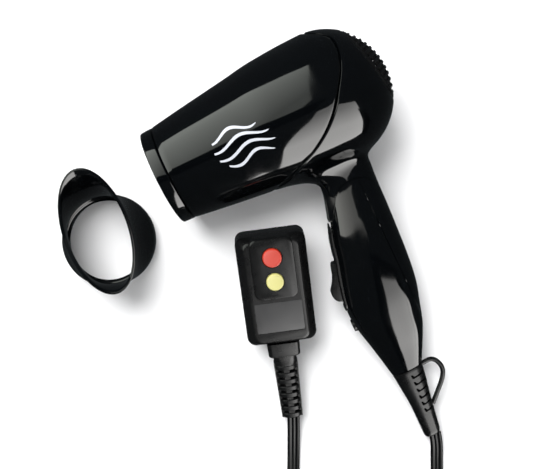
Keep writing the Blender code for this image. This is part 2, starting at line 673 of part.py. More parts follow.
def concentrator(finish, frame):
    """Round collar on the surface, lofted up to a wide oval mouth whose plane slants."""
    count = 28

    def ring(amount, inset):
        found = []
        for i in range(count):
            a = 2 * math.pi * i / count
            across = COLLAR_RADIUS + (MOUTH_REACH - COLLAR_RADIUS) * amount - inset
            narrow = COLLAR_RADIUS + (MOUTH_HALF - COLLAR_RADIUS) * amount - inset
            height = COLLAR_HEIGHT + (MOUTH_HEIGHT - COLLAR_HEIGHT) * amount
            height += MOUTH_SLANT * amount * math.cos(a)
            found.append((MOUTH_SHIFT * amount + across * math.cos(a), narrow * math.sin(a), height))
        return found

    eases = (0.0, 0.25, 0.5, 0.75, 1.0)
    bottom = [(x, y, 0.0) for x, y in circle(COLLAR_RADIUS, count=count)]
    bore = [(x, y, 0.0) for x, y in circle(COLLAR_BORE, count=count)]
    ledge = [(x, y, COLLAR_LEDGE) for x, y, _ in bore]
    outer = [bottom] + [ring(t, 0.0) for t in eases]
    inner = [ring(t, MOUTH_WALL) for t in reversed(eases)] + [ledge, bore]
    loft("concentrator_nozzle", outer + inner, finish, frame, round_trip=True)


# ---------------------------------------------------------------- cord

DRYER_SIDE = (
    (111.5, -119.2, 4.7), (112.3, -122.6, 4.1), (112.7, -127, 3.2), (112.8, -133, 2.4), (112.9, -141, 2.1),
    (113.2, -150, 2.1), (113.9, -160, 2.1), (114.9, -171, 2.1), (115.7, -184, 2.3),
)
PLUG_SIDE = (
    (24.8, -109.1, 6.4), (24.9, -113, 5.6), (25, -118, 4.5), (25, -124, 3.2), (25, -131, 2.3),
    (24.9, -140, 2.1), (24.6, -151, 2.1), (23.9, -162, 2.1), (22.8, -173, 2.1), (21.7, -186, 2.3),
)


def coil_section(grown, low):
    """A rectangle around one side of the coil, seen along the cord."""
    near, far, high = -COIL_OUTER - grown, -COIL_INNER + grown, COIL_HEIGHT + GAP - low
    return [(near, low), (far, low), (far, high), (near, high)]


def cords(finish, tie):
    tube("cord_dryer_end", smooth_path(DRYER_SIDE, 5.0), CORD_RADIUS, finish)
    tube("cord_plug_end", smooth_path(PLUG_SIDE, 5.0), CORD_RADIUS, finish)
    floor = Frame("coil_frame", (*COIL_CENTRE, 0.0))
    bevel = 3.0
    top, outer, inner = COIL_HEIGHT, COIL_OUTER, COIL_INNER
    profile = [
        (outer - bevel, top), (outer, top - bevel), (outer, bevel), (outer - bevel, 0.15),
        (inner + bevel, 0.15), (inner, bevel), (inner, top - bevel), (inner + bevel, top),
    ]
    coil = turned("cord_coil", profile, finish, floor, direction=(0, 0, 1), steps=32)
    around = [(-70, -5), (-10, -5), (-10, 25), (-70, 25)]
    loops = [coil_section(0.3, 0.05), coil_section(-0.8, 1.2)]
    plate("cord_tie", loops, TIE_WIDTH, tie, floor, turn=(90, 0, 90))
    room = [around, coil_section(-1.2, 1.6)]
    combine(coil, plate("tie_room", room, TIE_WIDTH + 2 * GAP, None, floor, turn=(90, 0, 90)))


# ---------------------------------------------------------------- assembly

for old in list(bpy.data.objects):
    bpy.data.objects.remove(old)

PARTS = collection("travel_hair_dryer")
CUTTERS = collection("cutters")

gloss_black = material("gloss_black", (0.012, 0.012, 0.013), 0.12)
satin_black = material("satin_black", (0.02, 0.02, 0.021), 0.38)
rubber_black = material("rubber_black", (0.015, 0.015, 0.016), 0.5)
red_plastic = material("red_plastic", (0.68, 0.05, 0.03), 0.35)
yellow_plastic = material("yellow_plastic", (0.80, 0.78, 0.22), 0.35)
steel = material("steel", (0.6, 0.6, 0.62), 0.3, 1.0)
brass = material("brass", (0.78, 0.66, 0.4), 0.3, 1.0)
mica = material("mica", (0.55, 0.45, 0.32), 0.7)
circuit_green = material("circuit_green", (0.05, 0.25, 0.1), 0.5)
BUTTON = {"plug_test_button": red_plastic, "plug_reset_button": yellow_plastic}

dryer = Frame("dryer_frame", DRYER_AT, DRYER_TURN)
barrel = Frame("fold_axis", PIVOT, parent=dryer)
fan = Frame("fan_axis", (0, 0, 0), parent=barrel)
rocker_axis = Frame("rocker_axis", ROCKER_PIVOT, parent=dryer)
selector_axis = Frame("selector_axis", (SELECTOR_OUT, SELECTOR_Y, 0), parent=dryer)
plug_frame = Frame("plug_frame", PLUG_AT, PLUG_TURN)
test_axis = Frame("test_button_axis", (0, TEST_Y, 15), parent=plug_frame)
reset_axis = Frame("reset_button_axis", (0, RESET_Y, 15), parent=plug_frame)
concentrator_frame = Frame("concentrator_frame", CONCENTRATOR_AT, (0, 0, CONCENTRATOR_YAW))

front_barrel_shell(gloss_black, barrel)
rear_housing(gloss_black, barrel)
nozzle_ring(gloss_black, barrel)
intake_grille(satin_black, barrel)
wheel("outlet_grille", 89, 2.4, [(4, 9), (11, 16), (18, 22.5)], 6, 2.0, satin_black, barrel, 25.2)
heater(mica, steel, steel, barrel)
motor_and_fan(satin_black, steel, barrel, fan)
handle_shells(gloss_black, dryer)
screws(steel, dryer)
fold_hinge(steel, dryer)
switch(satin_black, dryer, rocker_axis)
selector(satin_black, dryer, selector_axis)
cord_guard(rubber_black, satin_black, dryer)
plug(satin_black, brass, circuit_green, plug_frame, test_axis, reset_axis)
concentrator(gloss_black, concentrator_frame)
cords(rubber_black, satin_black)
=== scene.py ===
"""The looks of a folding travel hair dryer, its concentrator, its cord and its plug, around the CAD model.

Lengths are in millimetres in the frames of the dryer, the plug and the concentrator. Those frames are read
from the record's joints and mounts, and lengths turn into metres when a piece is placed. The dryer's frame
has its origin at the centre of the round rear of the barrel, +X to the nozzle, +Y to the handle and +Z up out
of the side that shows. The stage and the lamps are in metres.
"""

import json
import math

import bmesh
import bpy
import numpy as np
from mathutils import Matrix, Vector


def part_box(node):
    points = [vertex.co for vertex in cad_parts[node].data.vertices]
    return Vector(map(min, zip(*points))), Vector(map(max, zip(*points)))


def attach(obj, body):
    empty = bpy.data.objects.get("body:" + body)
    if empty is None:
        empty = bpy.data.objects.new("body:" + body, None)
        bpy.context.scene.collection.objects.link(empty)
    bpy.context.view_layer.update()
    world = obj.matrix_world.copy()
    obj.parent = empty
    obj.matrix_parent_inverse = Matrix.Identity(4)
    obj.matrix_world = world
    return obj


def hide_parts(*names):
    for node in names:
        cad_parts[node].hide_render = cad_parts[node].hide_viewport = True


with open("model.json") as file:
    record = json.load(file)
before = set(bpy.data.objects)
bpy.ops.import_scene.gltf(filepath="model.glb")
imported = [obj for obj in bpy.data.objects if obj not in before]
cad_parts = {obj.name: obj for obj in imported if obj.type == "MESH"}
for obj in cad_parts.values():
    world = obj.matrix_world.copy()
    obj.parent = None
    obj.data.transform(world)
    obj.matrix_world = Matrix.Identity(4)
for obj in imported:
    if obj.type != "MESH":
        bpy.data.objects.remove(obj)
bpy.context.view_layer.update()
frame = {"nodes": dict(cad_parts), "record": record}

MM = 0.001
RECORD = frame["record"]
JOINTS = {joint["name"]: joint for joint in RECORD["behaviour"]["joints"]}
MOUNTS = {mount["name"]: mount for mount in RECORD["mounts"]}


# ---------------------------------------------------------------- frames

def axes_frame(x_axis, z_axis, origin):
    """A matrix from millimetres in a local frame to metres in the row's frame."""
    x, z = Vector(x_axis).normalized(), Vector(z_axis).normalized()
    turn = Matrix((x, z.cross(x), z)).transposed().to_4x4()
    return Matrix.Translation(origin) @ turn


def node_middle(name):
    low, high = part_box(name)
    return (Vector(low) + Vector(high)) / 2


DRYER = axes_frame(JOINTS["fan_spin"]["axis"], JOINTS["handle_fold"]["axis"], JOINTS["fan_spin"]["pos_m"])
PLUG_Z = -Vector(JOINTS["test_press"]["axis"])
PLUG_TURN = axes_frame(node_middle("plug_prong_narrow") - node_middle("plug_prong_wide"), PLUG_Z, (0, 0, 0))
PLUG_FACE_POINT = Vector((0, -12, -13.5)) * MM          # where the record's mount lies on the plug
PLUG_ORIGIN = Vector(MOUNTS["plug_rear_face"]["pos_m"]) - PLUG_TURN @ PLUG_FACE_POINT
PLUG = Matrix.Translation(PLUG_ORIGIN) @ PLUG_TURN
COLLAR_POINT = Vector((26.3, 0, 0)) * MM                # where the record's mount lies on the concentrator
CONCENTRATOR_YAW = math.radians(106.9)
CONCENTRATOR_ORIGIN = Vector(MOUNTS["concentrator_collar"]["pos_m"]) - COLLAR_POINT
CONCENTRATOR = Matrix.Translation(CONCENTRATOR_ORIGIN) @ Matrix.Rotation(CONCENTRATOR_YAW, 4, "Z")
WORLD = Matrix.Identity(4)

# Sizes, as in the CAD model
REAR_RADIUS = 38.9
WALL = 2.2
BARREL = (                      # X and radius
    (97.4, 28.8), (91.9, 29.6), (75.3, 31.9), (49.9, 35.1), (33.3, 37.4), (14.7, 38.6), (0.0, REAR_RADIUS),
)
RING_FRONT = 105.2
SEAM = (                        # X and Y
    (58, 38), (28.7, 26.1), (13, 17.4), (1.4, 7), (-6, -3), (-12.5, -13), (-16, -23), (-14.8, -31),
    (-3, -39.5),
)
GRILLE_TILT = math.radians(12.6)
GRILLE_HALF_ANGLE = math.radians(40.0)
PIVOT = (8.5, 61.2)             # X and Y of the hinge
DOME = 14.0                     # radius of the handle's ears
CUP = 14.4                      # radius of the hollow that they turn in
TONGUE = 12.0
TONGUE_HALF = 7.5
POCKET = 20.4                   # radius of the room for the tongue in the handle
EAR_FRONT = (25.4, 61.6)
EAR_FOOT = (28.6, 68.0)
EAR_INNER = 8.6
STEM = (                        # Y, back X, front X and half width of the neck and the handle
    (38, -9.4, 34, 16.5), (42.5, -7.8, 26.0, 15.3), (49.3, -6.9, 25.3, 15), (60, -6.3, 28.0, 15.4),
    (68.2, -6.1, 30.6, 15.9), (76.6, -5.7, 33.2, 16.3), (87.5, -5.1, 35.4, 16.8), (99.2, -4.4, 38.7, 17.1),
    (112, -3.2, 41.9, 17), (122, -1.5, 43, 16.5), (132.9, 1.6, 41.9, 15), (143.8, 4.7, 39.6, 13),
    (154, 9.3, 37.6, 11), (166.2, 15.5, 35.4, 9),
)
STEM_POWER = 2.5                # of the rounded square that is its section
GUARD = ((166.5, 15.8, 35.2, 8.8), (176, 17.3, 34.4, 8.1), (190, 20.0, 33.4, 6.6), (212, 23.6, 33.6, 4.8))
SELECTOR_Y = 129.1
PARTING_X = 4.0                 # between the handle's two shells
GAP = 0.3
BUTTONS = {"test": (21.3, 5.6), "reset": (6.9, 5.1)}        # Y on the plug and radius
BLADES = {"wide": (-6.35, 7.9), "narrow": (6.35, 6.4)}      # X on the plug and width


# ---------------------------------------------------------------- shapes

def spline(points, count):
    """Evenly counted points along a Catmull-Rom curve through the given ones, as an array."""
    p = np.asarray(points, float)
    p = np.vstack([2 * p[0] - p[1], p, 2 * p[-1] - p[-2]])
    pieces = len(p) - 3
    at = np.linspace(0, pieces - 1e-9, count)
    i = at.astype(int)
    t = (at - i)[:, None]
    a, b, c, d = p[i], p[i + 1], p[i + 2], p[i + 3]
    return 0.5 * (2 * b + (c - a) * t + (2 * a - 5 * b + 4 * c - d) * t**2 + (3 * b - a - 3 * c + d) * t**3)


def even(points, spacing):
    """The same path with points at equal spacing."""
    p = np.asarray(points, float)
    along = np.concatenate([[0], np.cumsum(np.linalg.norm(np.diff(p, axis=0), axis=1))])
    at = np.linspace(0, along[-1], max(2, round(along[-1] / spacing) + 1))
    return np.stack([np.interp(at, along, p[:, k]) for k in range(p.shape[1])], 1)


def circle(radius, centre=(0, 0), count=48, start=0.0, end=360.0):
    """Points of an arc in degrees, or of a full circle without its repeated end."""
    whole = abs(end - start) >= 360.0
    angles = np.radians(np.linspace(start, end, count, endpoint=not whole))
    return [(centre[0] + radius * math.cos(a), centre[1] + radius * math.sin(a)) for a in angles]


def about_pivot(radius, degrees):
    return circle(radius, PIVOT, 2, degrees, degrees + 1)[0]


class Solid:
    """Points and faces in millimetres, which can be joined, cut and placed."""

    def __init__(self, points=(), faces=()):
        self.bm = bmesh.new()
        verts = [self.bm.verts.new(point) for point in points]
        for face in faces:
            self.bm.faces.new([verts[i] for i in face])

    def join(self, other):
        """Takes in another solid's points and faces as they are."""
        data = other.mesh("joined")
        self.bm.from_mesh(data)
        bpy.data.meshes.remove(data)
        return self

    def mesh(self, name):
        """Turns the solid into a mesh, after which it can't be used again."""
        bmesh.ops.recalc_face_normals(self.bm, faces=self.bm.faces)
        data = bpy.data.meshes.new(name)
        self.bm.to_mesh(data)
        self.bm.free()
        return data

    def boolean(self, others, operation="DIFFERENCE"):
        """Cuts, joins or keeps what is shared with other solids, and returns the result."""
        target = bpy.data.objects.new("target", self.mesh("target"))
        bpy.context.scene.collection.objects.link(target)
        tools = []
        for other in others if isinstance(others, (list, tuple)) else [others]:
            tool = bpy.data.objects.new("tool", other.mesh("tool"))
            bpy.context.scene.collection.objects.link(tool)
            tools.append(tool)
            step = target.modifiers.new("step", "BOOLEAN")
            step.operation = operation
            step.object = tool
        seen = target.evaluated_get(bpy.context.evaluated_depsgraph_get())
        data = bpy.data.meshes.new_from_object(seen)
        for done in [target, *tools]:
            old = done.data
            bpy.data.objects.remove(done)
            bpy.data.meshes.remove(old)
        result = Solid()
        result.bm.from_mesh(data)
        bpy.data.meshes.remove(data)
        bmesh.ops.remove_doubles(result.bm, verts=result.bm.verts, dist=0.002)
        return result

    def moved(self, matrix):
        bmesh.ops.transform(self.bm, matrix=matrix, verts=self.bm.verts)
        return self


def rings(rows, ends=True, round_trip=False):
    """A solid through rings of equal length, closed at its ends or back to its start."""
    rows = [np.asarray(row, float) for row in rows]
    count = len(rows[0])
    points = np.concatenate(rows)
    faces = []
    pairs = [(i, i + 1) for i in range(len(rows) - 1)]
    if round_trip:
        pairs.append((len(rows) - 1, 0))
    for a, b in pairs:
        for i in range(count):
            j = (i + 1) % count
            faces.append((a * count + i, a * count + j, b * count + j, b * count + i))
    if ends and not round_trip:
        faces.append(tuple(range(count))[::-1])
        faces.append(tuple(range(len(points) - count, len(points))))
    return Solid(points, faces)


def turned(profile, count, axis="X"):
    """A solid turned about X or Z, from (radius, height) points: closed on the axis, or a ring."""
    rows = []
    for radius, height in profile:
        row = circle(max(radius, 0.01), count=count)
        rows.append([(height, a, b) if axis == "X" else (a, b, height) for a, b in row])
    on_axis = profile[0][0] < 0.02 and profile[-1][0] < 0.02
    return rings(rows, ends=on_axis, round_trip=not on_axis)


def rod(radius, low, high, count, y, axis="X"):
    """A round rod along X or Z, at one place along Y."""
    profile = [(0.01, low), (radius, low), (radius, high), (0.01, high)]
    return turned(profile, count, axis).moved(Matrix.Translation((0, y, 0)))


def rounded(profile, radius, steps=4, closed=True):
    """A profile with each corner rounded, or all but its two ends where it is open."""
    points = [Vector(p) for p in profile]
    found = []
    for i, corner in enumerate(points):
        if not closed and i in (0, len(points) - 1):
            found.append(tuple(corner))
            continue
        before, after = points[i - 1] - corner, points[(i + 1) % len(points)] - corner
        reach = min(radius, before.length * 0.49, after.length * 0.49)
        a, b = corner + before.normalized() * reach, corner + after.normalized() * reach
        for k in range(steps + 1):
            t = k / steps
            found.append(tuple(a * (1 - t) ** 2 + corner * 2 * t * (1 - t) + b * t**2))
    return found


def prism(outline, low, high, edge=0.0):
    """An outline in XY through a range of Z, with its edges rounded."""
    centre = np.mean(np.asarray(outline, float), 0)
    steps = 4 if edge else 0
    levels = []
    for k in range(steps + 1):
        angle = math.pi / 2 * k / max(steps, 1)
        levels.append((edge * (1 - math.sin(angle)), low + edge * (1 - math.cos(angle))))
    levels += [(inset, low + high - z) for inset, z in reversed(levels)]
    return rings([[(*point, z) for point in inset_outline(outline, inset, centre)] for inset, z in levels])


def inset_outline(outline, inset, centre):
    """The outline moved inwards along its own normals."""
    if inset == 0:
        return [tuple(p) for p in outline]
    p = np.asarray(outline, float)
    along = np.roll(p, -1, 0) - np.roll(p, 1, 0)
    normal = np.stack([along[:, 1], -along[:, 0]], 1) / np.linalg.norm(along, axis=1)[:, None]
    outward = np.sign(np.sum(normal * (p - centre)))
    return [tuple(q) for q in p - normal * inset * outward]


def box(low, high):
    low, high = Vector(low), Vector(high)
    corners = [(x, y, z) for z in (low.z, high.z) for y in (low.y, high.y) for x in (low.x, high.x)]
    faces = [(0, 1, 3, 2), (4, 6, 7, 5), (0, 4, 5, 1), (1, 5, 7, 3), (3, 7, 6, 2), (2, 6, 4, 0)]
    return Solid(corners, faces)


def rounded_rectangle(width, height, radius, count=8, centre=(0, 0)):
    """Points of a rectangle with round corners, corner by corner."""
    found = []
    for cx, cy, start in ((1, 1, 0), (-1, 1, 90), (-1, -1, 180), (1, -1, 270)):
        middle = (centre[0] + cx * (width / 2 - radius), centre[1] + cy * (height / 2 - radius))
        found += circle(radius, middle, count, start, start + 90)
    return found


def sweep(path, section, up=(0, 0, 1), tilt=None):
    """A section of (across, along up) points carried along a path, and turned about it by the tilt."""
    p = np.asarray(path, float)
    tangent = np.gradient(p, axis=0)
    tangent /= np.linalg.norm(tangent, axis=1)[:, None]
    side = np.cross(tangent, np.broadcast_to(np.asarray(up, float), p.shape))
    side /= np.linalg.norm(side, axis=1)[:, None]
    top = np.cross(side, tangent)
    tilt = np.zeros(len(p)) if tilt is None else tilt
    rows = []
    for i in range(len(p)):
        across = side[i] * math.cos(tilt[i]) + top[i] * math.sin(tilt[i])
        over = -side[i] * math.sin(tilt[i]) + top[i] * math.cos(tilt[i])
        rows.append([p[i] + across * a + over * b for a, b in section])
    return rings(rows)


def piece(name, solid, place, finish, body, stands_for=(), sharp=35.0):
    """Makes the scene object of a solid, on its CAD body, and hides the CAD nodes that it stands for."""
    data = solid.mesh(name)
    data.transform(place @ Matrix.Scale(MM, 4))
    data.shade_smooth()
    data.set_sharp_from_angle(angle=math.radians(sharp))
    data.materials.clear()
    data.materials.append(finish)
    made = bpy.data.objects.new(name, data)
    bpy.context.scene.collection.objects.link(made)
    bpy.context.view_layer.update()
    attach(made, body)
    if stands_for:
        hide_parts(*stands_for)
    return made


# ---------------------------------------------------------------- materials

def shader_nodes(name):
    """A new material, its tree and its shader."""
    made = bpy.data.materials.new(name)
    made.use_nodes = True
    tree = made.node_tree
    return made, tree, tree.nodes["Principled BSDF"]


def noise(tree, scale, detail, stretch=(1, 1, 1)):
    """Object-space noise, in waves per metre."""
    where = tree.nodes.new("ShaderNodeTexCoord")
    mapping = tree.nodes.new("ShaderNodeMapping")
    mapping.inputs["Scale"].default_value = stretch
    texture = tree.nodes.new("ShaderNodeTexNoise")
    texture.inputs["Scale"].default_value = scale
    texture.inputs["Detail"].default_value = detail
    tree.links.new(where.outputs["Object"], mapping.inputs["Vector"])
    tree.links.new(mapping.outputs["Vector"], texture.inputs["Vector"])
    return texture.outputs["Fac"]


def between(tree, factor, low, high):
    """A value from low to high as the factor goes from 0.35 to 0.65."""
    spread = tree.nodes.new("ShaderNodeMapRange")
    spread.inputs["From Min"].default_value = 0.35
    spread.inputs["From Max"].default_value = 0.65
    spread.inputs["To Min"].default_value = low
    spread.inputs["To Max"].default_value = high
    tree.links.new(factor, spread.inputs["Value"])
    return spread.outputs["Result"]


def colours(tree, factor, dark, light):
    """A colour from dark to light."""
    mix = tree.nodes.new("ShaderNodeMix")
    mix.data_type = "RGBA"
    mix.inputs[6].default_value = (*dark, 1)
    mix.inputs[7].default_value = (*light, 1)
    tree.links.new(factor, mix.inputs[0])
    return mix.outputs[2]


def bumped(tree, shader, heights):
    """Bumps in series, from (height, strength, distance in millimetres)."""
    last = None
    for height, strength, distance in heights:
        bump = tree.nodes.new("ShaderNodeBump")
        bump.inputs["Strength"].default_value = strength
        bump.inputs["Distance"].default_value = distance * MM
        tree.links.new(height, bump.inputs["Height"])
        if last is not None:
            tree.links.new(last, bump.inputs["Normal"])
        last = bump.outputs["Normal"]
    tree.links.new(last, shader.inputs["Normal"])


def plastic(name, dark, light, rough, grain, grain_depth, specular=0.5, wave=0.0):
    """Moulded plastic: slight colour and roughness variation, fine grain, and a slow mould wave."""
    made, tree, shader = shader_nodes(name)
    slow = noise(tree, 35, 2.0)
    fine = noise(tree, grain, 4.0)
    tree.links.new(colours(tree, slow, dark, light), shader.inputs["Base Color"])
    tree.links.new(between(tree, noise(tree, 160, 5.0), *rough), shader.inputs["Roughness"])
    shader.inputs["Specular IOR Level"].default_value = specular
    heights = [(fine, 0.5, grain_depth)]
    if wave:
        heights.append((noise(tree, 60, 1.0), 0.5, wave))
    bumped(tree, shader, heights)
    return made


def metal(name, dark, light, rough, stretch=(1, 1, 1)):
    """Bare metal, with a grain that can be drawn out one way."""
    made, tree, shader = shader_nodes(name)
    grain = noise(tree, 400, 4.0, stretch)
    tree.links.new(colours(tree, grain, dark, light), shader.inputs["Base Color"])
    tree.links.new(between(tree, grain, *rough), shader.inputs["Roughness"])
    shader.inputs["Metallic"].default_value = 1.0
    bumped(tree, shader, [(grain, 0.3, 0.02)])
    return made


GLOSS = plastic(
    "gloss_black", (0.0010, 0.0013, 0.0017), (0.0016, 0.0020, 0.0024), (0.045, 0.075), 700, 0.0003,
    wave=0.004)
GLOSS_INNER = plastic(
    "gloss_black_inner", (0.0012, 0.0016, 0.0021), (0.0020, 0.0026, 0.0031), (0.08, 0.12), 500, 0.0001)
SATIN = plastic(
    "satin_black", (0.0028, 0.0029, 0.0031), (0.0045, 0.0046, 0.0048), (0.26, 0.32), 1500, 0.003, 0.3)
RUBBER = plastic(
    "rubber_black", (0.0020, 0.0022, 0.0024), (0.0034, 0.0036, 0.0038), (0.24, 0.33), 1200, 0.006, 0.36)
CORD = plastic(
    "cord_black", (0.0013, 0.0015, 0.0017), (0.0022, 0.0025, 0.0027), (0.18, 0.25), 900, 0.004, 0.22)
LABEL = plastic("label_plate", (0.016, 0.016, 0.017), (0.024, 0.024, 0.025), (0.34, 0.44), 2200, 0.006)
RED = plastic("red_plastic", (0.40, 0.026, 0.012), (0.47, 0.036, 0.017), (0.34, 0.46), 1500, 0.02)
YELLOW = plastic("yellow_plastic", (0.50, 0.47, 0.16), (0.57, 0.54, 0.20), (0.34, 0.46), 1500, 0.02)
PRINT = plastic("white_print", (0.47, 0.49, 0.54), (0.57, 0.59, 0.64), (0.35, 0.5), 2500, 0.01)
STEEL = metal("steel", (0.50, 0.50, 0.52), (0.68, 0.68, 0.70), (0.22, 0.38), (1, 1, 8))
WIRE = metal("heating_wire", (0.42, 0.38, 0.34), (0.60, 0.54, 0.48), (0.3, 0.45))
BRASS = metal("nickelled_brass", (0.72, 0.62, 0.40), (0.84, 0.74, 0.52), (0.18, 0.32), (1, 8, 1))
MICA = plastic("mica", (0.42, 0.33, 0.22), (0.58, 0.48, 0.34), (0.45, 0.7), 500, 0.05)
CIRCUIT = plastic("circuit_green", (0.02, 0.14, 0.06), (0.04, 0.22, 0.09), (0.3, 0.5), 700, 0.03)


# ---------------------------------------------------------------- camera, stage and light

CAMERA_AT = (0.0084, 0.0022, 0.600)
CAMERA_LENS = 65.8
STAGE_REACH = 3.0
WALL_SPAN = (-0.1, 2.2)
NEAR, MIDDLE, BEYOND, FAR = 1.4, 1.5, 1.7, 2.2      # of the windows, so that none hides another
SHELLS = ("handle_front", "handle_back")
WARM = (1.0, 0.99, 0.97)
WARM_LEVELS = (2.3, 7.4)


def camera():
    data = bpy.data.cameras.new("camera")
    data.lens = CAMERA_LENS
    data.sensor_width = 36.0
    made = bpy.data.objects.new("camera", data)
    bpy.context.scene.collection.objects.link(made)
    made.location = CAMERA_AT
    bpy.context.scene.camera = made


def stage():
    """A white floor and a far round wall. Neither shows in the gloss of the black plastic."""
    paper, tree, shader = shader_nodes("white_paper")
    white = colours(tree, noise(tree, 3, 2.0), (0.86, 0.86, 0.865), (0.90, 0.90, 0.905))
    tree.links.new(white, shader.inputs["Base Color"])
    shader.inputs["Roughness"].default_value = 0.9
    shader.inputs["Specular IOR Level"].default_value = 0.1
    far = STAGE_REACH
    floor = Solid([(-far, -far, 0), (far, -far, 0), (far, far, 0), (-far, far, 0)], [(0, 1, 2, 3)])
    wall = rings([[(x, y, z) for x, y in circle(STAGE_REACH, count=64)] for z in WALL_SPAN], ends=False)
    for name, solid in (("floor", floor), ("far_wall", wall)):
        data = solid.mesh(name)
        data.materials.append(paper)
        made = bpy.data.objects.new(name, data)
        bpy.context.scene.collection.objects.link(made)
        made.visible_glossy = False


def softbox(name, at, size, power):
    """A rectangular lamp aimed at the origin. Gloss mirrors the windows instead of it."""
    data = bpy.data.lights.new(name, "AREA")
    data.shape = "RECTANGLE"
    data.size, data.size_y = size
    data.energy = power
    made = bpy.data.objects.new(name, data)
    bpy.context.scene.collection.objects.link(made)
    made.location = at
    made.rotation_euler = (-Vector(at)).to_track_quat("-Z", "Y").to_euler()
    made.visible_camera = False
    made.visible_glossy = False


def toward(east, north, distance):
    """A point seen from the origin, by its degrees from straight up, split into those towards +X and +Y."""
    zenith, azimuth = math.radians(math.hypot(east, north)), math.atan2(north, east)
    flat = math.sin(zenith) * distance
    return Vector((flat * math.cos(azimuth), flat * math.sin(azimuth), math.cos(zenith) * distance))


def glow(name, colour, levels, run):
    """A material that shines, from one level to the other along a run from point to point."""
    made, tree, shader = shader_nodes(name)
    tree.nodes.remove(shader)
    light = tree.nodes.new("ShaderNodeEmission")
    light.inputs["Color"].default_value = (*colour, 1)
    where = tree.nodes.new("ShaderNodeTexCoord")
    along = tree.nodes.new("ShaderNodeVectorMath")
    along.operation = "DOT_PRODUCT"
    start, end = run
    way = end - start
    along.inputs[1].default_value = way / way.length_squared
    begin = start.dot(way) / way.length_squared
    level = tree.nodes.new("ShaderNodeMapRange")
    level.inputs["From Min"].default_value = begin
    level.inputs["From Max"].default_value = begin + 1
    level.inputs["To Min"].default_value, level.inputs["To Max"].default_value = levels
    tree.links.new(where.outputs["Object"], along.inputs[0])
    tree.links.new(along.outputs["Value"], level.inputs["Value"])
    tree.links.new(level.outputs["Result"], light.inputs["Strength"])
    tree.links.new(light.outputs["Emission"], tree.nodes["Material Output"].inputs["Surface"])
    return made


def window(name, distance, angles, colour, levels, run, linked=(), state="INCLUDE"):
    """A bright pane of (east, north) corners that only gloss sees, on linked pieces or on all others."""
    corners = [toward(east, north, distance) for east, north in angles]
    data = Solid(corners, [tuple(range(len(corners)))]).mesh(name)
    data.materials.append(glow(name, colour, levels, [toward(*place, distance) for place in run]))
    pane = bpy.data.objects.new(name, data)
    bpy.context.scene.collection.objects.link(pane)
    pane.visible_camera = pane.visible_diffuse = pane.visible_shadow = False
    pane.visible_transmission = pane.visible_volume_scatter = False
    if linked:
        receivers = bpy.data.collections.new(name + "_receivers")
        for receiver in linked:
            receivers.objects.link(bpy.data.objects[receiver])
        for entry in receivers.collection_objects:
            entry.light_linking.link_state = state
        pane.light_linking.receiver_collection = receivers


def lighting():
    """A dim room, two lamps, and the windows that the gloss mirrors."""
    world = bpy.data.worlds.new("room")
    world.use_nodes = True
    back = world.node_tree.nodes["Background"]
    back.inputs["Color"].default_value = (0.86, 0.95, 1.0, 1)
    back.inputs["Strength"].default_value = 0.05
    bpy.context.scene.world = world
    bpy.context.scene.view_settings.view_transform = "Standard"
    softbox("sky_fill", (-0.55, 0.75, 1.5), (1.1, 1.1), 46)
    softbox("overhead_fill", (0.1, -0.1, 1.9), (2.6, 2.6), 22)
    left = ((-3, 3), (-22, 53), (-52, 52), (-80, 10), (-62, -27), (-20, -5), (-4, -3))
    window("window_left", MIDDLE, left, (0.95, 1.0, 0.93), (1.1, 3.9), ((-10, 20), (-50, 30)))
    right = ((6, -17), (46, -9), (68, -40), (72, -60), (20, -88), (10, -55))
    down = ((25, -16), (36, -46))
    window("window_right", FAR, right, WARM, WARM_LEVELS, down, SHELLS, "EXCLUDE")
    strip = ((3, -3), (4, -12), (8.7, -13), (-4, -16.4), (-24, -22), (-43, -26), (-66, -28), (-66, -10))
    window("window_strip", BEYOND, strip, (1.0, 1.0, 0.94), (1.6, 3.6), ((0, -12), (-45, -20)),
           (*SHELLS, "barrel_rear"))
    low = ((13.5, -22), (37, -15.5), (51, -18), (66, -38), (71, -60), (28, -66), (21, -47), (18.5, -36))
    window("window_low", NEAR, low, WARM, WARM_LEVELS, down)
    side = ((51.5, -18), (67, -22), (82, -33), (82, -60), (71.5, -60), (66.5, -38))
    window("window_side", NEAR, side, WARM, WARM_LEVELS, down, SHELLS)


# ---------------------------------------------------------------- cord

CORD_LOBE = 1.45                # radius over each core
CORD_PITCH = 2.3                # from core to core
DRYER_SIDE = (
    (111.3, -118.6, 4.9), (111.9, -120.6, 4.4), (112.5, -124.5, 3.4), (112.8, -130, 2.3), (112.9, -137, 1.7),
    (113.0, -145, 1.6), (113.1, -153, 1.6), (113.1, -162, 1.9), (113.1, -172, 2.9), (113.1, -184, 3.9),
)
PLUG_SIDE = (
    (24.8, -108.2, 6.6), (24.9, -112, 5.7), (25, -118, 4.3), (25, -124, 2.9), (25, -131, 1.9),
    (24.9, -139, 1.6), (24.9, -147, 1.7), (24.9, -156, 2.6), (24.9, -166, 5.2), (24.9, -177, 9.0),
    (24.9, -187, 11.3),
)
COIL_CENTRE = (69.0, -195.8)
COIL_OUTER_TURN = 44.1
COIL_PITCH = 3.6
COIL_LEVELS = (3.95, 11.55)
COIL_TURNS = 3.25               # in each of the two layers
RISE_TURNS = 0.3                # over which the cord climbs to the upper layer


def smooth(t):
    """A soft step from 0 to 1."""
    t = np.clip(t, 0, 1)
    return t**2 * (3 - 2 * t)


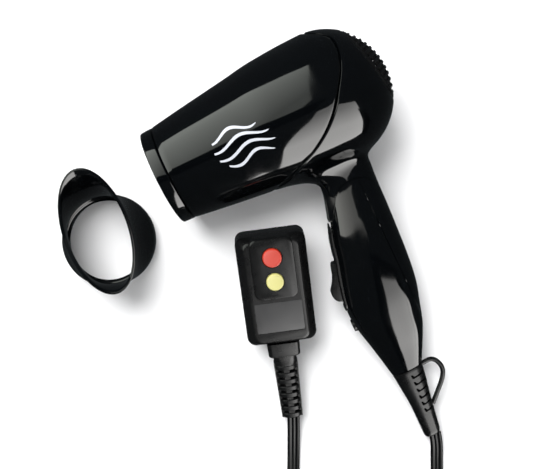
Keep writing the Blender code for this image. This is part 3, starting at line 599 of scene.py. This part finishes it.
def coil_points():
    """Two flat spirals, inwards below and outwards above, clockwise seen from above."""
    found = []
    per_turn = 40
    total = 2 * COIL_TURNS
    for i in range(round(total * per_turn) + 1):
        turn = i / per_turn
        inward = min(turn, total - turn)
        climb = smooth((turn - COIL_TURNS) / RISE_TURNS + 0.5)
        radius = COIL_OUTER_TURN - COIL_PITCH * inward
        angle = -2 * math.pi * turn
        height = COIL_LEVELS[0] + (COIL_LEVELS[1] - COIL_LEVELS[0]) * climb
        x, y = COIL_CENTRE[0] + radius * math.cos(angle), COIL_CENTRE[1] + radius * math.sin(angle)
        found.append((x, y, height))
    return found


def cord_section(count=9):
    """Outline of a flat cord with three round cores side by side."""
    right = circle(CORD_LOBE, (CORD_PITCH, 0), count, -90, 90)
    left = circle(CORD_LOBE, (-CORD_PITCH, 0), count, 90, 270)
    valley = math.sqrt(CORD_LOBE**2 - (CORD_PITCH / 2) ** 2)
    top = [(CORD_PITCH / 2, valley), (0.9, 1.14), (0, CORD_LOBE), (-0.9, 1.14), (-CORD_PITCH / 2, valley)]
    bottom = [(-x, -y) for x, y in top]
    return right + top + left + bottom


def cord():
    """The cord with its path and length. It lies flat at both ends and stands on edge in the coil."""
    path = np.vstack([spline(DRYER_SIDE, 60)[:-1], coil_points(), spline(PLUG_SIDE, 60)[::-1][1:]])
    path = even(spline(even(path, 8.0), 1400), 2.6)
    along = np.concatenate([[0], np.cumsum(np.linalg.norm(np.diff(path, axis=0), axis=1))])
    length = along[-1]
    upright = math.pi / 2 - 0.02
    tilt = smooth((along - 32) / 28) * smooth((length - along - 40) / 32) * upright
    stands_for = ["cord_dryer_end", "cord_coil", "cord_plug_end"]
    solid = sweep(path, cord_section(), tilt=tilt)
    made = piece("mains_cord", solid, WORLD, CORD, "handle", stands_for, 60)
    return made, path, length


def cord_tie():
    """A soft band around the coil's far side."""
    outline = rounded_rectangle(19.0, 15.7, 3.4, 8)
    rows = []
    profile = ((-3.5, 0.9), (-3.3, 0.1), (0, 0.0), (3.3, 0.1), (3.5, 0.9), (3.3, 1.1), (-3.3, 1.1))
    for offset, inset in profile:
        rows.append([(offset, a, b) for a, b in inset_outline(outline, inset, np.zeros(2))])
    place = Matrix.Translation(Vector((COIL_CENTRE[0], COIL_CENTRE[1] - 36.8, 7.95)) * MM)
    piece("cord_band", rings(rows, round_trip=True), place, RUBBER, "handle", ["cord_tie"])


# ---------------------------------------------------------------- barrel

BARREL_LINE = spline(BARREL[::-1], 240)[:, ::-1]        # (radius, x), from the rear centre to the front
SEAM_LINE = spline(SEAM[::-1], 200)
SEAM_GAP = 0.7


def barrel_radius(x):
    if x <= 0:
        return math.sqrt(max(REAR_RADIUS**2 - x * x, 0.0))
    return float(np.interp(x, BARREL_LINE[:, 1], BARREL_LINE[:, 0]))


def seam_x(angle):
    """Where the seam crosses the barrel's surface at an angle from +Y about the barrel's axis."""
    x = 20.0
    for _ in range(40):
        y = barrel_radius(x) * math.cos(angle)
        x = 0.5 * (x + float(np.interp(y, SEAM_LINE[:, 1], SEAM_LINE[:, 0])))
    return x


def on_barrel(x, angle, inset=0.0):
    radius = barrel_radius(x) - inset
    return (x, radius * math.cos(angle), radius * math.sin(angle))


ROUND = [2 * math.pi * i / 160 for i in range(160)]
SEAM_AT = [seam_x(angle) for angle in ROUND]


def front_shell():
    """The front of the barrel, with a rolled edge at the seam and a wall behind it."""
    def row(t, inset, step=0.0, front=97.3):
        starts = [x + SEAM_GAP / 2 + step for x in SEAM_AT]
        return [on_barrel(x * (1 - t) + front * t, a, inset) for x, a in zip(starts, ROUND)]

    roll = ((0.0, WALL), (0.0, 1.5), (0.25, 0.85), (0.7, 0.35), (1.3, 0.08), (1.9, 0.0))
    rows = [row(0, inset, step) for step, inset in roll]
    rows += [row(t, 0.0, 1.9, 97.0) for t in np.linspace(0, 1, 34)[1:]]
    rows += [row(1, inset) for inset in (0.15, 0.5, WALL)]
    rows += [row(t, WALL) for t in (0.75, 0.5, 0.25)]
    shell = rings(rows, round_trip=True)
    piece("barrel_front", shell, DRYER, GLOSS, "barrel", ["front_barrel_shell"])


GRILLE_AXIS = Vector((-math.cos(GRILLE_TILT), -math.sin(GRILLE_TILT), 0))
GRILLE_ACROSS = Vector((math.sin(GRILLE_TILT), -math.cos(GRILLE_TILT), 0))


def on_grille(polar, angle, radius=REAR_RADIUS):
    """A point of the round rear, by its angle from the grille's axis and its angle about it from +Y."""
    flat = -GRILLE_ACROSS * math.cos(angle) + Vector((0, 0, 1)) * math.sin(angle)
    return (GRILLE_AXIS * math.cos(polar) + flat * math.sin(polar)) * radius


def rear_shell():
    """The rear of the barrel from the seam to the grille, without its neck."""
    def surface(point, inset):
        x, y, z = point
        if x < 0:
            return Vector(point).normalized() * (REAR_RADIUS - inset)
        scale = (barrel_radius(x) - inset) / math.hypot(y, z)
        return Vector((x, y * scale, z * scale))

    starts = [Vector(on_barrel(x - SEAM_GAP / 2, a)) for x, a in zip(SEAM_AT, ROUND)]
    ends = [on_grille(GRILLE_HALF_ANGLE + 0.006, a) for a in ROUND]

    def row(t, inset):
        return [surface(s.lerp(e, t), inset) for s, e in zip(starts, ends)]

    rows = [row(0.0, WALL), row(0.0, 1.2), row(0.004, 0.5), row(0.012, 0.15), row(0.03, 0.02)]
    rows += [row(t, 0.0) for t in np.linspace(0.05, 0.95, 40)]
    rows += [row(0.975, 0.02), row(0.99, 0.15), row(0.998, 0.5), row(1.0, 1.2), row(1.0, WALL + 0.6)]
    rows += [row(t, WALL) for t in (0.75, 0.5, 0.25)]
    return rings(rows, round_trip=True)


STEM_LINE = spline([(y, back, front, half) for y, back, front, half in STEM], 400)


def stem_at(y, inset=0.0):
    """The outline of neck and handle at one height."""
    back, front, half = (float(np.interp(y, STEM_LINE[:, 0], STEM_LINE[:, k])) for k in (1, 2, 3))
    return stem_outline(y, back, front, half, inset)


def stem_outline(y, back, front, half, inset=0.0, count=120):
    """A rounded square at one height, moved inwards by the inset."""
    middle, reach = (back + front) / 2, (front - back) / 2 - inset
    found = []
    for i in range(count):
        c, s = math.cos(2 * math.pi * i / count), math.sin(2 * math.pi * i / count)
        x = math.copysign(abs(c) ** (2 / STEM_POWER), c) * reach
        z = math.copysign(abs(s) ** (2 / STEM_POWER), s) * (half - inset)
        found.append(Vector((middle + x, y, z)))
    return found


NECK_TOP = 47.0
NECK_LANDING = ((-15.0, 46.0), 23.0)        # back and front X, and half width, of its foot on the barrel
NECK_PULL = (30.0, 20.0)                    # how strongly it leaves the barrel and meets the stem


def neck():
    """The neck flows out of the barrel and ends in a hollow for each of the handle's ears."""
    (back, front), half = NECK_LANDING
    top = stem_at(NECK_TOP)
    above = stem_at(NECK_TOP + 0.5)
    feet = [Vector((p.x, 0, p.z)) for p in stem_outline(0, back, front, half)]
    middle = Vector(((back + front) / 2, 0, 0))

    def lifted(flat):
        return Vector((flat.x, math.sqrt(max(barrel_radius(flat.x) ** 2 - flat.z**2, 1.0)), flat.z))

    landing = [lifted(foot) for foot in feet]
    pulls = [(lifted(foot.lerp(middle, 0.06)) - lifted(foot)).normalized() for foot in feet]
    ups = [(b - a).normalized() for a, b in zip(top, above)]
    rows = [[lifted(foot) * 0.9 for foot in feet], landing]
    for t in np.linspace(0, 1, 22)[1:]:
        h = (2 * t**3 - 3 * t**2 + 1, t**3 - 2 * t**2 + t, 3 * t**2 - 2 * t**3, t**3 - t**2)
        rows.append([a * h[0] + m * (h[1] * NECK_PULL[0]) + b * h[2] + n * (h[3] * NECK_PULL[1])
                     for a, m, b, n in zip(landing, pulls, top, ups)])
    rows += [stem_at(y) for y in (49, 51, 54, 57, 60, 63)]
    solid = rings(rows)
    below = [*(about_pivot(90, degrees) for degrees in (-35, 5, 60, 120, 182)), PIVOT]
    cuts = [prism(below, -40, 40)]
    for low, high in ((-40, -TONGUE_HALF - 0.1), (TONGUE_HALF + 0.1, 40)):
        cuts.append(prism(circle(CUP, PIVOT, 96), low, high))
    return solid.boolean(cuts)


def tongue():
    """The flat middle of the neck, which turns between the handle's ears."""
    front = []
    for y in np.linspace(42, 65, 26):
        front.append((float(np.interp(y, STEM_LINE[:, 0], STEM_LINE[:, 2])) + 0.1, y))
    outline = [*circle(TONGUE, PIVOT, 40, 40, 200), (-1.5, 50), (0, 38), *front]
    return prism(outline, -TONGUE_HALF, TONGUE_HALF, 0.5)


def rear_housing():
    solid = rear_shell().join(neck()).join(tongue())
    piece("barrel_rear", solid, DRYER, GLOSS, "barrel", ["rear_housing"], 40)


def nozzle_ring():
    profile = [
        (28.4, RING_FRONT), (28.75, 98.0), (26.2, 98.0), (26.2, 92.0), (24.8, 92.0), (24.8, RING_FRONT),
    ]
    ring = turned(rounded(profile, 0.9, 5), 128)
    piece("nozzle_rim", ring, DRYER, GLOSS, "barrel", ["nozzle_ring"])


def intake_grille():
    """A round frame with curved bars both ways, over the fan."""
    edge = GRILLE_HALF_ANGLE - 0.012
    outer, inner = REAR_RADIUS - 0.25, REAR_RADIUS - 2.3
    section = (
        (edge, outer - 0.3), (edge - 0.012, outer), (edge - 0.06, outer), (edge - 0.072, outer - 0.4),
        (edge - 0.072, inner), (edge, inner),
    )
    rows = [[on_grille(polar, a, radius) for polar, radius in section] for a in ROUND]
    solid = rings(rows, round_trip=True)
    pitch, half, each_side = 3.4, 0.75, 7
    up = Vector((0, 0, 1))
    layers = ((up, GRILLE_ACROSS, outer - 0.1, 1.5), (GRILLE_ACROSS, up, outer - 0.9, 1.3))
    for along, across, top, deep in layers:
        low, high = -deep / 2, deep / 2
        bar = rounded([(-half, low), (half, low), (half, high), (-half, high)], 0.35, 3)
        for k in range(-each_side, each_side + 1):
            shift = k * pitch
            reach = math.sqrt(max((REAR_RADIUS * math.sin(edge - 0.05)) ** 2 - shift**2, 0))
            if reach < 2:
                continue
            radius = math.sqrt(top**2 - shift**2)
            turn = math.asin(min(reach / radius, 1))
            path, ups = [], []
            for a in np.linspace(-turn, turn, 18):
                outward = GRILLE_AXIS * math.cos(a) + along * math.sin(a)
                path.append(across * shift + outward * (radius - deep / 2))
                ups.append(outward)
            solid.join(sweep(path, bar, ups))
    piece("grille_bars", solid, DRYER, SATIN, "barrel", ["intake_grille"])


def airflow_print():
    """Four wavy lines of a plain pattern, on the side of the barrel."""
    solid = Solid()
    spacing, swing, waves, lag = 5.6, 2.1, 1.15, 0.08
    for line, (start, reach) in enumerate(((65.0, 27), (68.5, 33), (69.5, 33), (68.5, 27))):
        rows = []
        for t in np.linspace(0, 1, 40):
            x = start - reach * t
            y = 8.5 - spacing * line + swing * math.sin(2 * math.pi * (t * waves + lag * line))
            half = 0.85 * math.sin(math.pi * min(1, 0.08 + 0.92 * t)) ** 0.45 + 0.05
            row = []
            for side, lift in ((-half, -0.01), (half, -0.01), (half, 0.05), (-half, 0.05)):
                row.append((x, y + side, math.sqrt((barrel_radius(x) + lift) ** 2 - (y + side) ** 2)))
            rows.append(row)
        solid.join(rings(rows))
    piece("airflow_print", solid, DRYER, PRINT, "barrel", [])


# ---------------------------------------------------------------- handle

def handle_form():
    """The handle before it is parted, as in the CAD model: hollow, with ears and a pocket for the tongue."""
    heights = [42.2, *np.arange(44, 166, 2.0), 166.0]
    whole = rings([stem_at(y) for y in heights] + [stem_at(166.2, 0.5)])
    hollow = rings([stem_at(y, WALL) for y in (*np.arange(76.6, 163, 3.0), 164.0)])
    above = [(-20, PIVOT[1] - 0.4), (-20, 30), (60, 30), (60, EAR_FOOT[1]), EAR_FOOT, EAR_FRONT,
             *circle(DOME, PIVOT, 50, -22, -178)]
    pocket = [
        *circle(POCKET, PIVOT, 30, 80, 27), about_pivot(50, 27), (50, 30), (-20, 30), about_pivot(30, 181),
        *circle(TONGUE + 0.5, PIVOT, 30, 180, 80),
    ]
    return whole.boolean([hollow, prism(above, -60, 60), prism(pocket, -EAR_INNER, EAR_INNER)])


def handle_shells():
    """The handle's front with the holes for its switches, and its back with two screw wells."""
    switch_hole = box((28.5, 85.9, -5.6), (60, 115.4, 5.6))
    selector_hole = rod(4.3, 30, 50, 48, SELECTOR_Y)
    front_space = box((PARTING_X + GAP / 2, 20, -40), (80, 180, 40))
    front = handle_form().boolean(front_space, "INTERSECT").boolean([switch_hole, selector_hole])
    piece("handle_front", front, DRYER, GLOSS, "handle", ["handle_front_shell"])
    back_space = box((-60, 20, -40), (PARTING_X - GAP / 2, 180, 40))
    wells = [rod(2.9, -20, floor, 40, y) for y, floor in ((80.5, -2.2), (118.0, 1.0))]
    back = handle_form().boolean(back_space, "INTERSECT").boolean(wells)
    piece("handle_back", back, DRYER, GLOSS, "handle", ["handle_back_cover"])


def switch_bezel():
    """A raised plate on the front of the handle, with the rocker's opening."""
    heights = np.arange(65, 121, 1.5)
    outer = rings([stem_at(y, -0.35 - math.sin(math.pi * (y - 64.5) / 56.5) ** 0.5) for y in heights])
    inner = rings([stem_at(y, -0.3) for y in np.arange(62, 124, 1.5)])
    plate = rounded_rectangle(16.6, 50.6, 4.0, 10, (0, 92.55))
    hole = rounded_rectangle(11.2, 29.5, 1.2, 6, (0, 100.65))
    to_side = Matrix(((0, 0, 1, 0), (0, 1, 0, 0), (-1, 0, 0, 0), (0, 0, 0, 1)))
    limits = prism([(-z, y) for z, y in plate], 20, 60).moved(to_side)
    opening = prism([(-z, y) for z, y in hole], 15, 65).moved(to_side)
    solid = outer.boolean(limits, "INTERSECT").boolean([inner, opening])
    piece("rocker_bezel", solid, DRYER, SATIN, "handle", ["switch_bezel"])


def rocker():
    outline = [
        (31, 93.5), (36.6, 88.9), (39.2, 88.9), (40.6, 92.5), (41.6, 96.5), (43.6, 100.5), (46.9, 104.9),
        (46.5, 108.6), (44.9, 111.0), (41.6, 112.1), (31, 106),
    ]
    paddle = prism(rounded(outline, 1.3, 4), -5, 5, 0.6)
    piece("rocker_paddle", paddle, DRYER, SATIN, "rocker", ["switch_rocker"])


def selector():
    """A small round knob with a slot."""
    profile = [(0.01, 33.5), *rounded([(3.85, 33.5), (3.85, 43.8), (0.01, 43.8)], 0.7, 4, closed=False)]
    solid = turned(profile, 64).moved(Matrix.Translation((0, SELECTOR_Y, 0)))
    solid = solid.boolean(box((42.9, SELECTOR_Y - 0.6, -2.9), (45, SELECTOR_Y + 0.6, 2.9)))
    piece("selector_knob", solid, DRYER, SATIN, "selector", ["voltage_selector"])


def cord_guard():
    """A flat tapering boot with hooked slots down its back."""
    line = spline(GUARD, 80)
    heights = np.linspace(166.55, 211.6, 46)

    def at(y, inset):
        back, front, half = (float(np.interp(y, line[:, 0], line[:, k])) for k in (1, 2, 3))
        return stem_outline(y, back, front, half, inset, count=96)

    rows = [at(166.55, 0.7), at(166.7, 0.2)] + [at(y, 0) for y in heights[1:-2]]
    rows += [at(210.6, 0.15), at(211.4, 0.6), at(211.9, 1.3)]
    solid = rings(rows)
    slots = []
    for i in range(6):
        y = 171.2 + 4.6 * i
        edge = float(np.interp(y, line[:, 0], line[:, 1]))
        reach = 8.2 - 0.55 * i
        tip = edge + reach
        outline = rounded([
            (edge - 3, y - 1.8), (edge + 1.2, y - 0.6), (tip - 1, y + 0.2), (tip, y - 1.6),
            (tip + 0.9, y - 1.4), (tip + 0.6, y + 1.3), (edge + 1.0, y + 0.9), (edge - 3, y - 0.2),
        ], 0.6, 3)
        slots += [prism(outline, 2.2, 30), prism(outline, -30, -2.2)]
    solid = solid.boolean(slots)
    piece("cord_boot", solid, DRYER, RUBBER, "handle", ["strain_relief"], 30)


def hanging_loop():
    points = (
        (16.5, 168.6, 0), (11, 168.4, 0), (7.9, 170.6, 0), (6.4, 175, 0), (7.0, 179, 0), (10.0, 183.6, 0),
        (15.6, 189.4, 0), (20.6, 194.4, 0),
    )
    loop = sweep(spline(points, 60), circle(1.45, count=24))
    piece("boot_loop", loop, DRYER, RUBBER, "handle", ["hanging_loop"])


# ---------------------------------------------------------------- concentrator

def concentrator():
    """A round collar that turns smoothly into a wide flat mouth, with two low tabs inside its foot."""
    count = 144
    collar, wider, narrower, aside = 27.9, 9.6, 8.4, 5.0
    foot, rise, slant = 11.0, 31.5, 7.5

    def ring(amount, inset, drop=0.0):
        """The outline from the collar at 0 to the mouth at 1."""
        late, early = amount**2.3, 1 - (1 - amount) ** 1.9
        across = collar + wider * late - inset
        narrow = collar - narrower * early - inset
        found = []
        for i in range(count):
            a = 2 * math.pi * i / count
            height = foot + rise * amount + slant * amount * math.cos(a) - drop
            found.append((aside * late + across * math.cos(a), narrow * math.sin(a), height))
        return found

    def flat(radius, z):
        return [(x, y, z) for x, y in circle(radius, count=count)]

    rows = [flat(26.3, 0.0), flat(27.5, 0.0), flat(27.8, 0.15), flat(collar, 0.5), flat(collar, 5.0)]
    rows += [ring(t, 0.0) for t in np.linspace(0, 0.985, 26)]
    rows += [ring(1, 0.1, 0.25), ring(1, 0.4, 0.03), ring(1, 0.8, 0.0), ring(1, 1.3, 0.05), ring(1, 1.7, 0.4)]
    rows += [ring(t, 1.8) for t in np.linspace(0.97, 0, 22)]
    foot_inside = (
        (26.1, 12.2), (25.5, 11.9), (25.4, 10.6), (24.9, 10.3), (24.2, 9.7), (24.0, 9.2), (24.0, 8.4),
        (24.8, 7.9), (24.8, 0.5), (25.0, 0.1),
    )
    rows += [flat(radius, z) for radius, z in foot_inside]
    nozzle = rings(rows, round_trip=True)
    piece("nozzle_attachment", nozzle, CONCENTRATOR, GLOSS_INNER, "concentrator", ["concentrator_nozzle"])
    tabs = Solid()
    for start in (48, 228):
        outline = circle(26.3, (0, 0), 14, start, start + 30)
        outline += circle(23.4, (0, 0), 14, start + 27, start + 3)
        tabs.join(prism(rounded(outline, 0.5, 2), 8.6, 10.2, 0.3))
    piece("nozzle_attachment_tabs", tabs, CONCENTRATOR, GLOSS_INNER, "concentrator", [])


# ---------------------------------------------------------------- plug

def plug_loft(rows):
    """A rounded box through rows of Z, half width, low and high Y, and corner radius."""
    found = []
    for z, half, low, high, radius in rows:
        outline = rounded_rectangle(2 * half, high - low, radius, 10, (0, (low + high) / 2))
        found.append([(x, y, z) for x, y in outline])
    return rings(found)


def plug_body():
    """Two shells. The front one has a raised panel around the buttons and a blank plate below it."""
    cover = plug_loft([
        (0.2, 20.2, -32.7, 32.7, 4.8), (0.5, 20.5, -33, 33, 5), (4.6, 20.5, -33, 33, 5),
        (5.6, 20.3, -32.9, 32.8, 5), (6.6, 19.8, -32.5, 32.5, 5), (11.0, 16.9, -30.9, 31.5, 4.6),
        (11.9, 16.2, -30.2, 31.0, 4.3), (12.4, 15.6, -29.5, 30.4, 4.0), (12.5, 14.8, -28.6, 29.6, 3.5),
    ])
    panel = plug_loft([
        (5.0, 13.4, -4.4, 33.0, 4.6), (11.0, 12.9, -3.9, 32.8, 4.4), (13.0, 12.6, -3.5, 32.4, 4.2),
        (13.6, 12.3, -3.2, 31.8, 4.0), (13.8, 11.7, -2.6, 31.2, 3.4),
    ])
    plate_middle = (0, -15.0)
    recess = prism(rounded_rectangle(28.3, 18.6, 1.0, 8, plate_middle), 12.15, 20)
    wells = [rod(radius + 0.45, 5, 30, 72, y, "Z") for y, radius in BUTTONS.values()]
    hollow = plug_loft([(-1, 18, -30.5, 30.5, 3), (4.4, 18, -30.5, 30.5, 3), (10.2, 14.8, -27, 28.2, 3)])
    solid = cover.boolean(panel, "UNION").boolean([recess, hollow, *wells])
    piece("plug_cover", solid, PLUG, SATIN, "handle", ["plug_front_cover"], sharp=30)
    plate = prism(rounded_rectangle(27.7, 18.0, 0.8, 8, plate_middle), 11.6, 12.3, 0.08)
    piece("plug_label", plate, PLUG, LABEL, "handle")
    case = plug_loft([
        (-13.5, 17.6, -30.2, 30.2, 3.6), (-13.3, 18.3, -30.8, 30.8, 4.2), (-12.7, 18.9, -31.4, 31.4, 4.6),
        (-11.2, 20.2, -32.7, 32.7, 5), (-10.4, 20.5, -33, 33, 5), (-0.5, 20.5, -33, 33, 5),
        (-0.2, 20.2, -32.7, 32.7, 4.8),
    ])
    rooms = [box((-18, -30.5, -11.3), (18, 30.5, 1))]
    for x, wide in BLADES.values():
        rooms.append(box((x - 1.0, 16.15 - wide / 2, -20), (x + 1.0, 16.65 + wide / 2, 0)))
    piece("plug_case", case.boolean(rooms), PLUG, SATIN, "handle", ["plug_rear_case"], sharp=30)


def plug_buttons():
    """Two domed caps on thin stems."""
    for label, finish, slot in (("test", RED, "red_plastic"), ("reset", YELLOW, "yellow_plastic")):
        y, radius = BUTTONS[label]
        profile = [
            (0.01, 15.1), (radius - 1.6, 15.2), (radius - 0.5, 15.4), (radius, 14.7), (radius, 9.5),
            (1.6, 9.5), (1.6, 5.5), (0.01, 5.5),
        ]
        solid = turned(rounded(profile, 0.5, 4, closed=False), 80, "Z").moved(Matrix.Translation((0, y, 0)))
        piece(f"{label}_cap", solid, PLUG, finish, f"{label}_button", [f"plug_{label}_button"])


def plug_guard():
    """A square collar, a short neck, and a tapering bend relief whose ribs three bridges hold together."""
    def section(y, half_x, half_z, radius):
        return [(x, y, z) for x, z in rounded_rectangle(2 * half_x, 2 * half_z, radius, 10)]

    rows = [section(*row) for row in (
        (-33.1, 9.7, 8.8, 2.8), (-40.6, 9.4, 8.6, 2.8), (-41.3, 9.0, 8.2, 2.8), (-41.8, 7.4, 7.0, 3.2),
        (-43.5, 6.9, 6.6, 4.2), (-47.0, 6.7, 6.4, 4.8), (-47.8, 6.8, 6.5, 5.0),
    )]
    ribs, first, pitch, last = 8, 48.2, 4.4, 83.4
    rib = ((0.0, -0.2), (0.25, 0.0), (2.35, 0.0), (2.6, -0.2))
    valley = ((2.65, -2.9), (4.3, -2.9), (4.35, -0.2))
    for i in range(ribs):
        y = first + pitch * i
        half = 7.0 - 0.9 * (y - first) / (last - first)
        for step, grow in rib if i == ribs - 1 else rib + valley:
            rows.append(section(-(y + step), half + grow, half * 0.94 + grow, (half + grow) * 0.8))
    solid = rings(rows[::-1])
    for low, high, deep, near, far in (
        (-1.7, 1.7, 6.2, 1.0, 1.0), (-7.4, -5.4, 3.4, 0.97, 0.84), (5.4, 7.4, 3.4, 0.97, 0.84),
    ):
        ends = []
        for y, scale, reach in ((-82, far, deep * 0.86), (-47, near, deep)):
            corners = ((low, -reach), (high, -reach), (high, reach), (low, reach))
            ends.append([(x * scale, y, z) for x, z in corners])
        solid.join(rings(ends))
    piece("plug_boot", solid, PLUG, SATIN, "handle", ["plug_strain_relief"], sharp=30)


def prongs():
    """Two flat blades with a hole near the tip."""
    tip, bevel, thick = -30.5, 1.4, 1.5
    for label, (x, wide) in BLADES.items():
        side = wide / 2
        outline = rounded([
            (-side, -8), (side, -8), (side, -29), (side - bevel, tip), (bevel - side, tip), (-side, -29),
        ], 0.3, 2)
        to_side = Matrix(((0, 0, 1, x), (1, 0, 0, 16.4), (0, 1, 0, 0), (0, 0, 0, 1)))
        hole = prism(circle(1.5, (0, -26.5), 32), -4, 4)
        blade = prism(outline, -thick / 2, thick / 2, 0.12).boolean(hole).moved(to_side)
        piece(f"blade_{label}", blade, PLUG, BRASS, "handle", [f"plug_prong_{label}"], 25)


# ---------------------------------------------------------------- CAD pieces that stay as they are

KEPT = {
    SATIN: (
        "outlet_grille", "motor_mount", "fan_impeller", "switch_body", "voltage_switch_body", "cord_clamp",
        "plug_relay",
    ),
    STEEL: (
        "motor_can", "motor_shaft", "hinge_pin", "hinge_washer_upper", "hinge_washer_lower",
        "handle_screw_upper", "handle_screw_lower", "thermostat", "thermal_fuse",
    ),
    WIRE: ("heating_coil",),
    BRASS: ("plug_sensing_coil",),
    MICA: ("mica_sleeve", "mica_board_a", "mica_board_b"),
    CIRCUIT: ("plug_circuit_board",),
}


def finish_kept_nodes():
    """Gives the CAD pieces inside, and the small ones that show, their materials."""
    for finish, names in KEPT.items():
        for name in names:
            data = frame["nodes"][name].data
            for i in range(len(data.materials)):
                data.materials[i] = finish
            if not data.materials:
                data.materials.append(finish)


# ---------------------------------------------------------------- everything

camera()
stage()
mains_cord, cord_path, cord_length = cord()
cord_tie()
front_shell()
rear_housing()
nozzle_ring()
intake_grille()
airflow_print()
handle_shells()
switch_bezel()
rocker()
selector()
cord_guard()
hanging_loop()
concentrator()
plug_body()
plug_buttons()
plug_guard()
prongs()
lighting()
finish_kept_nodes()

print("cord length in metres:", round(float(cord_length) * MM, 3))
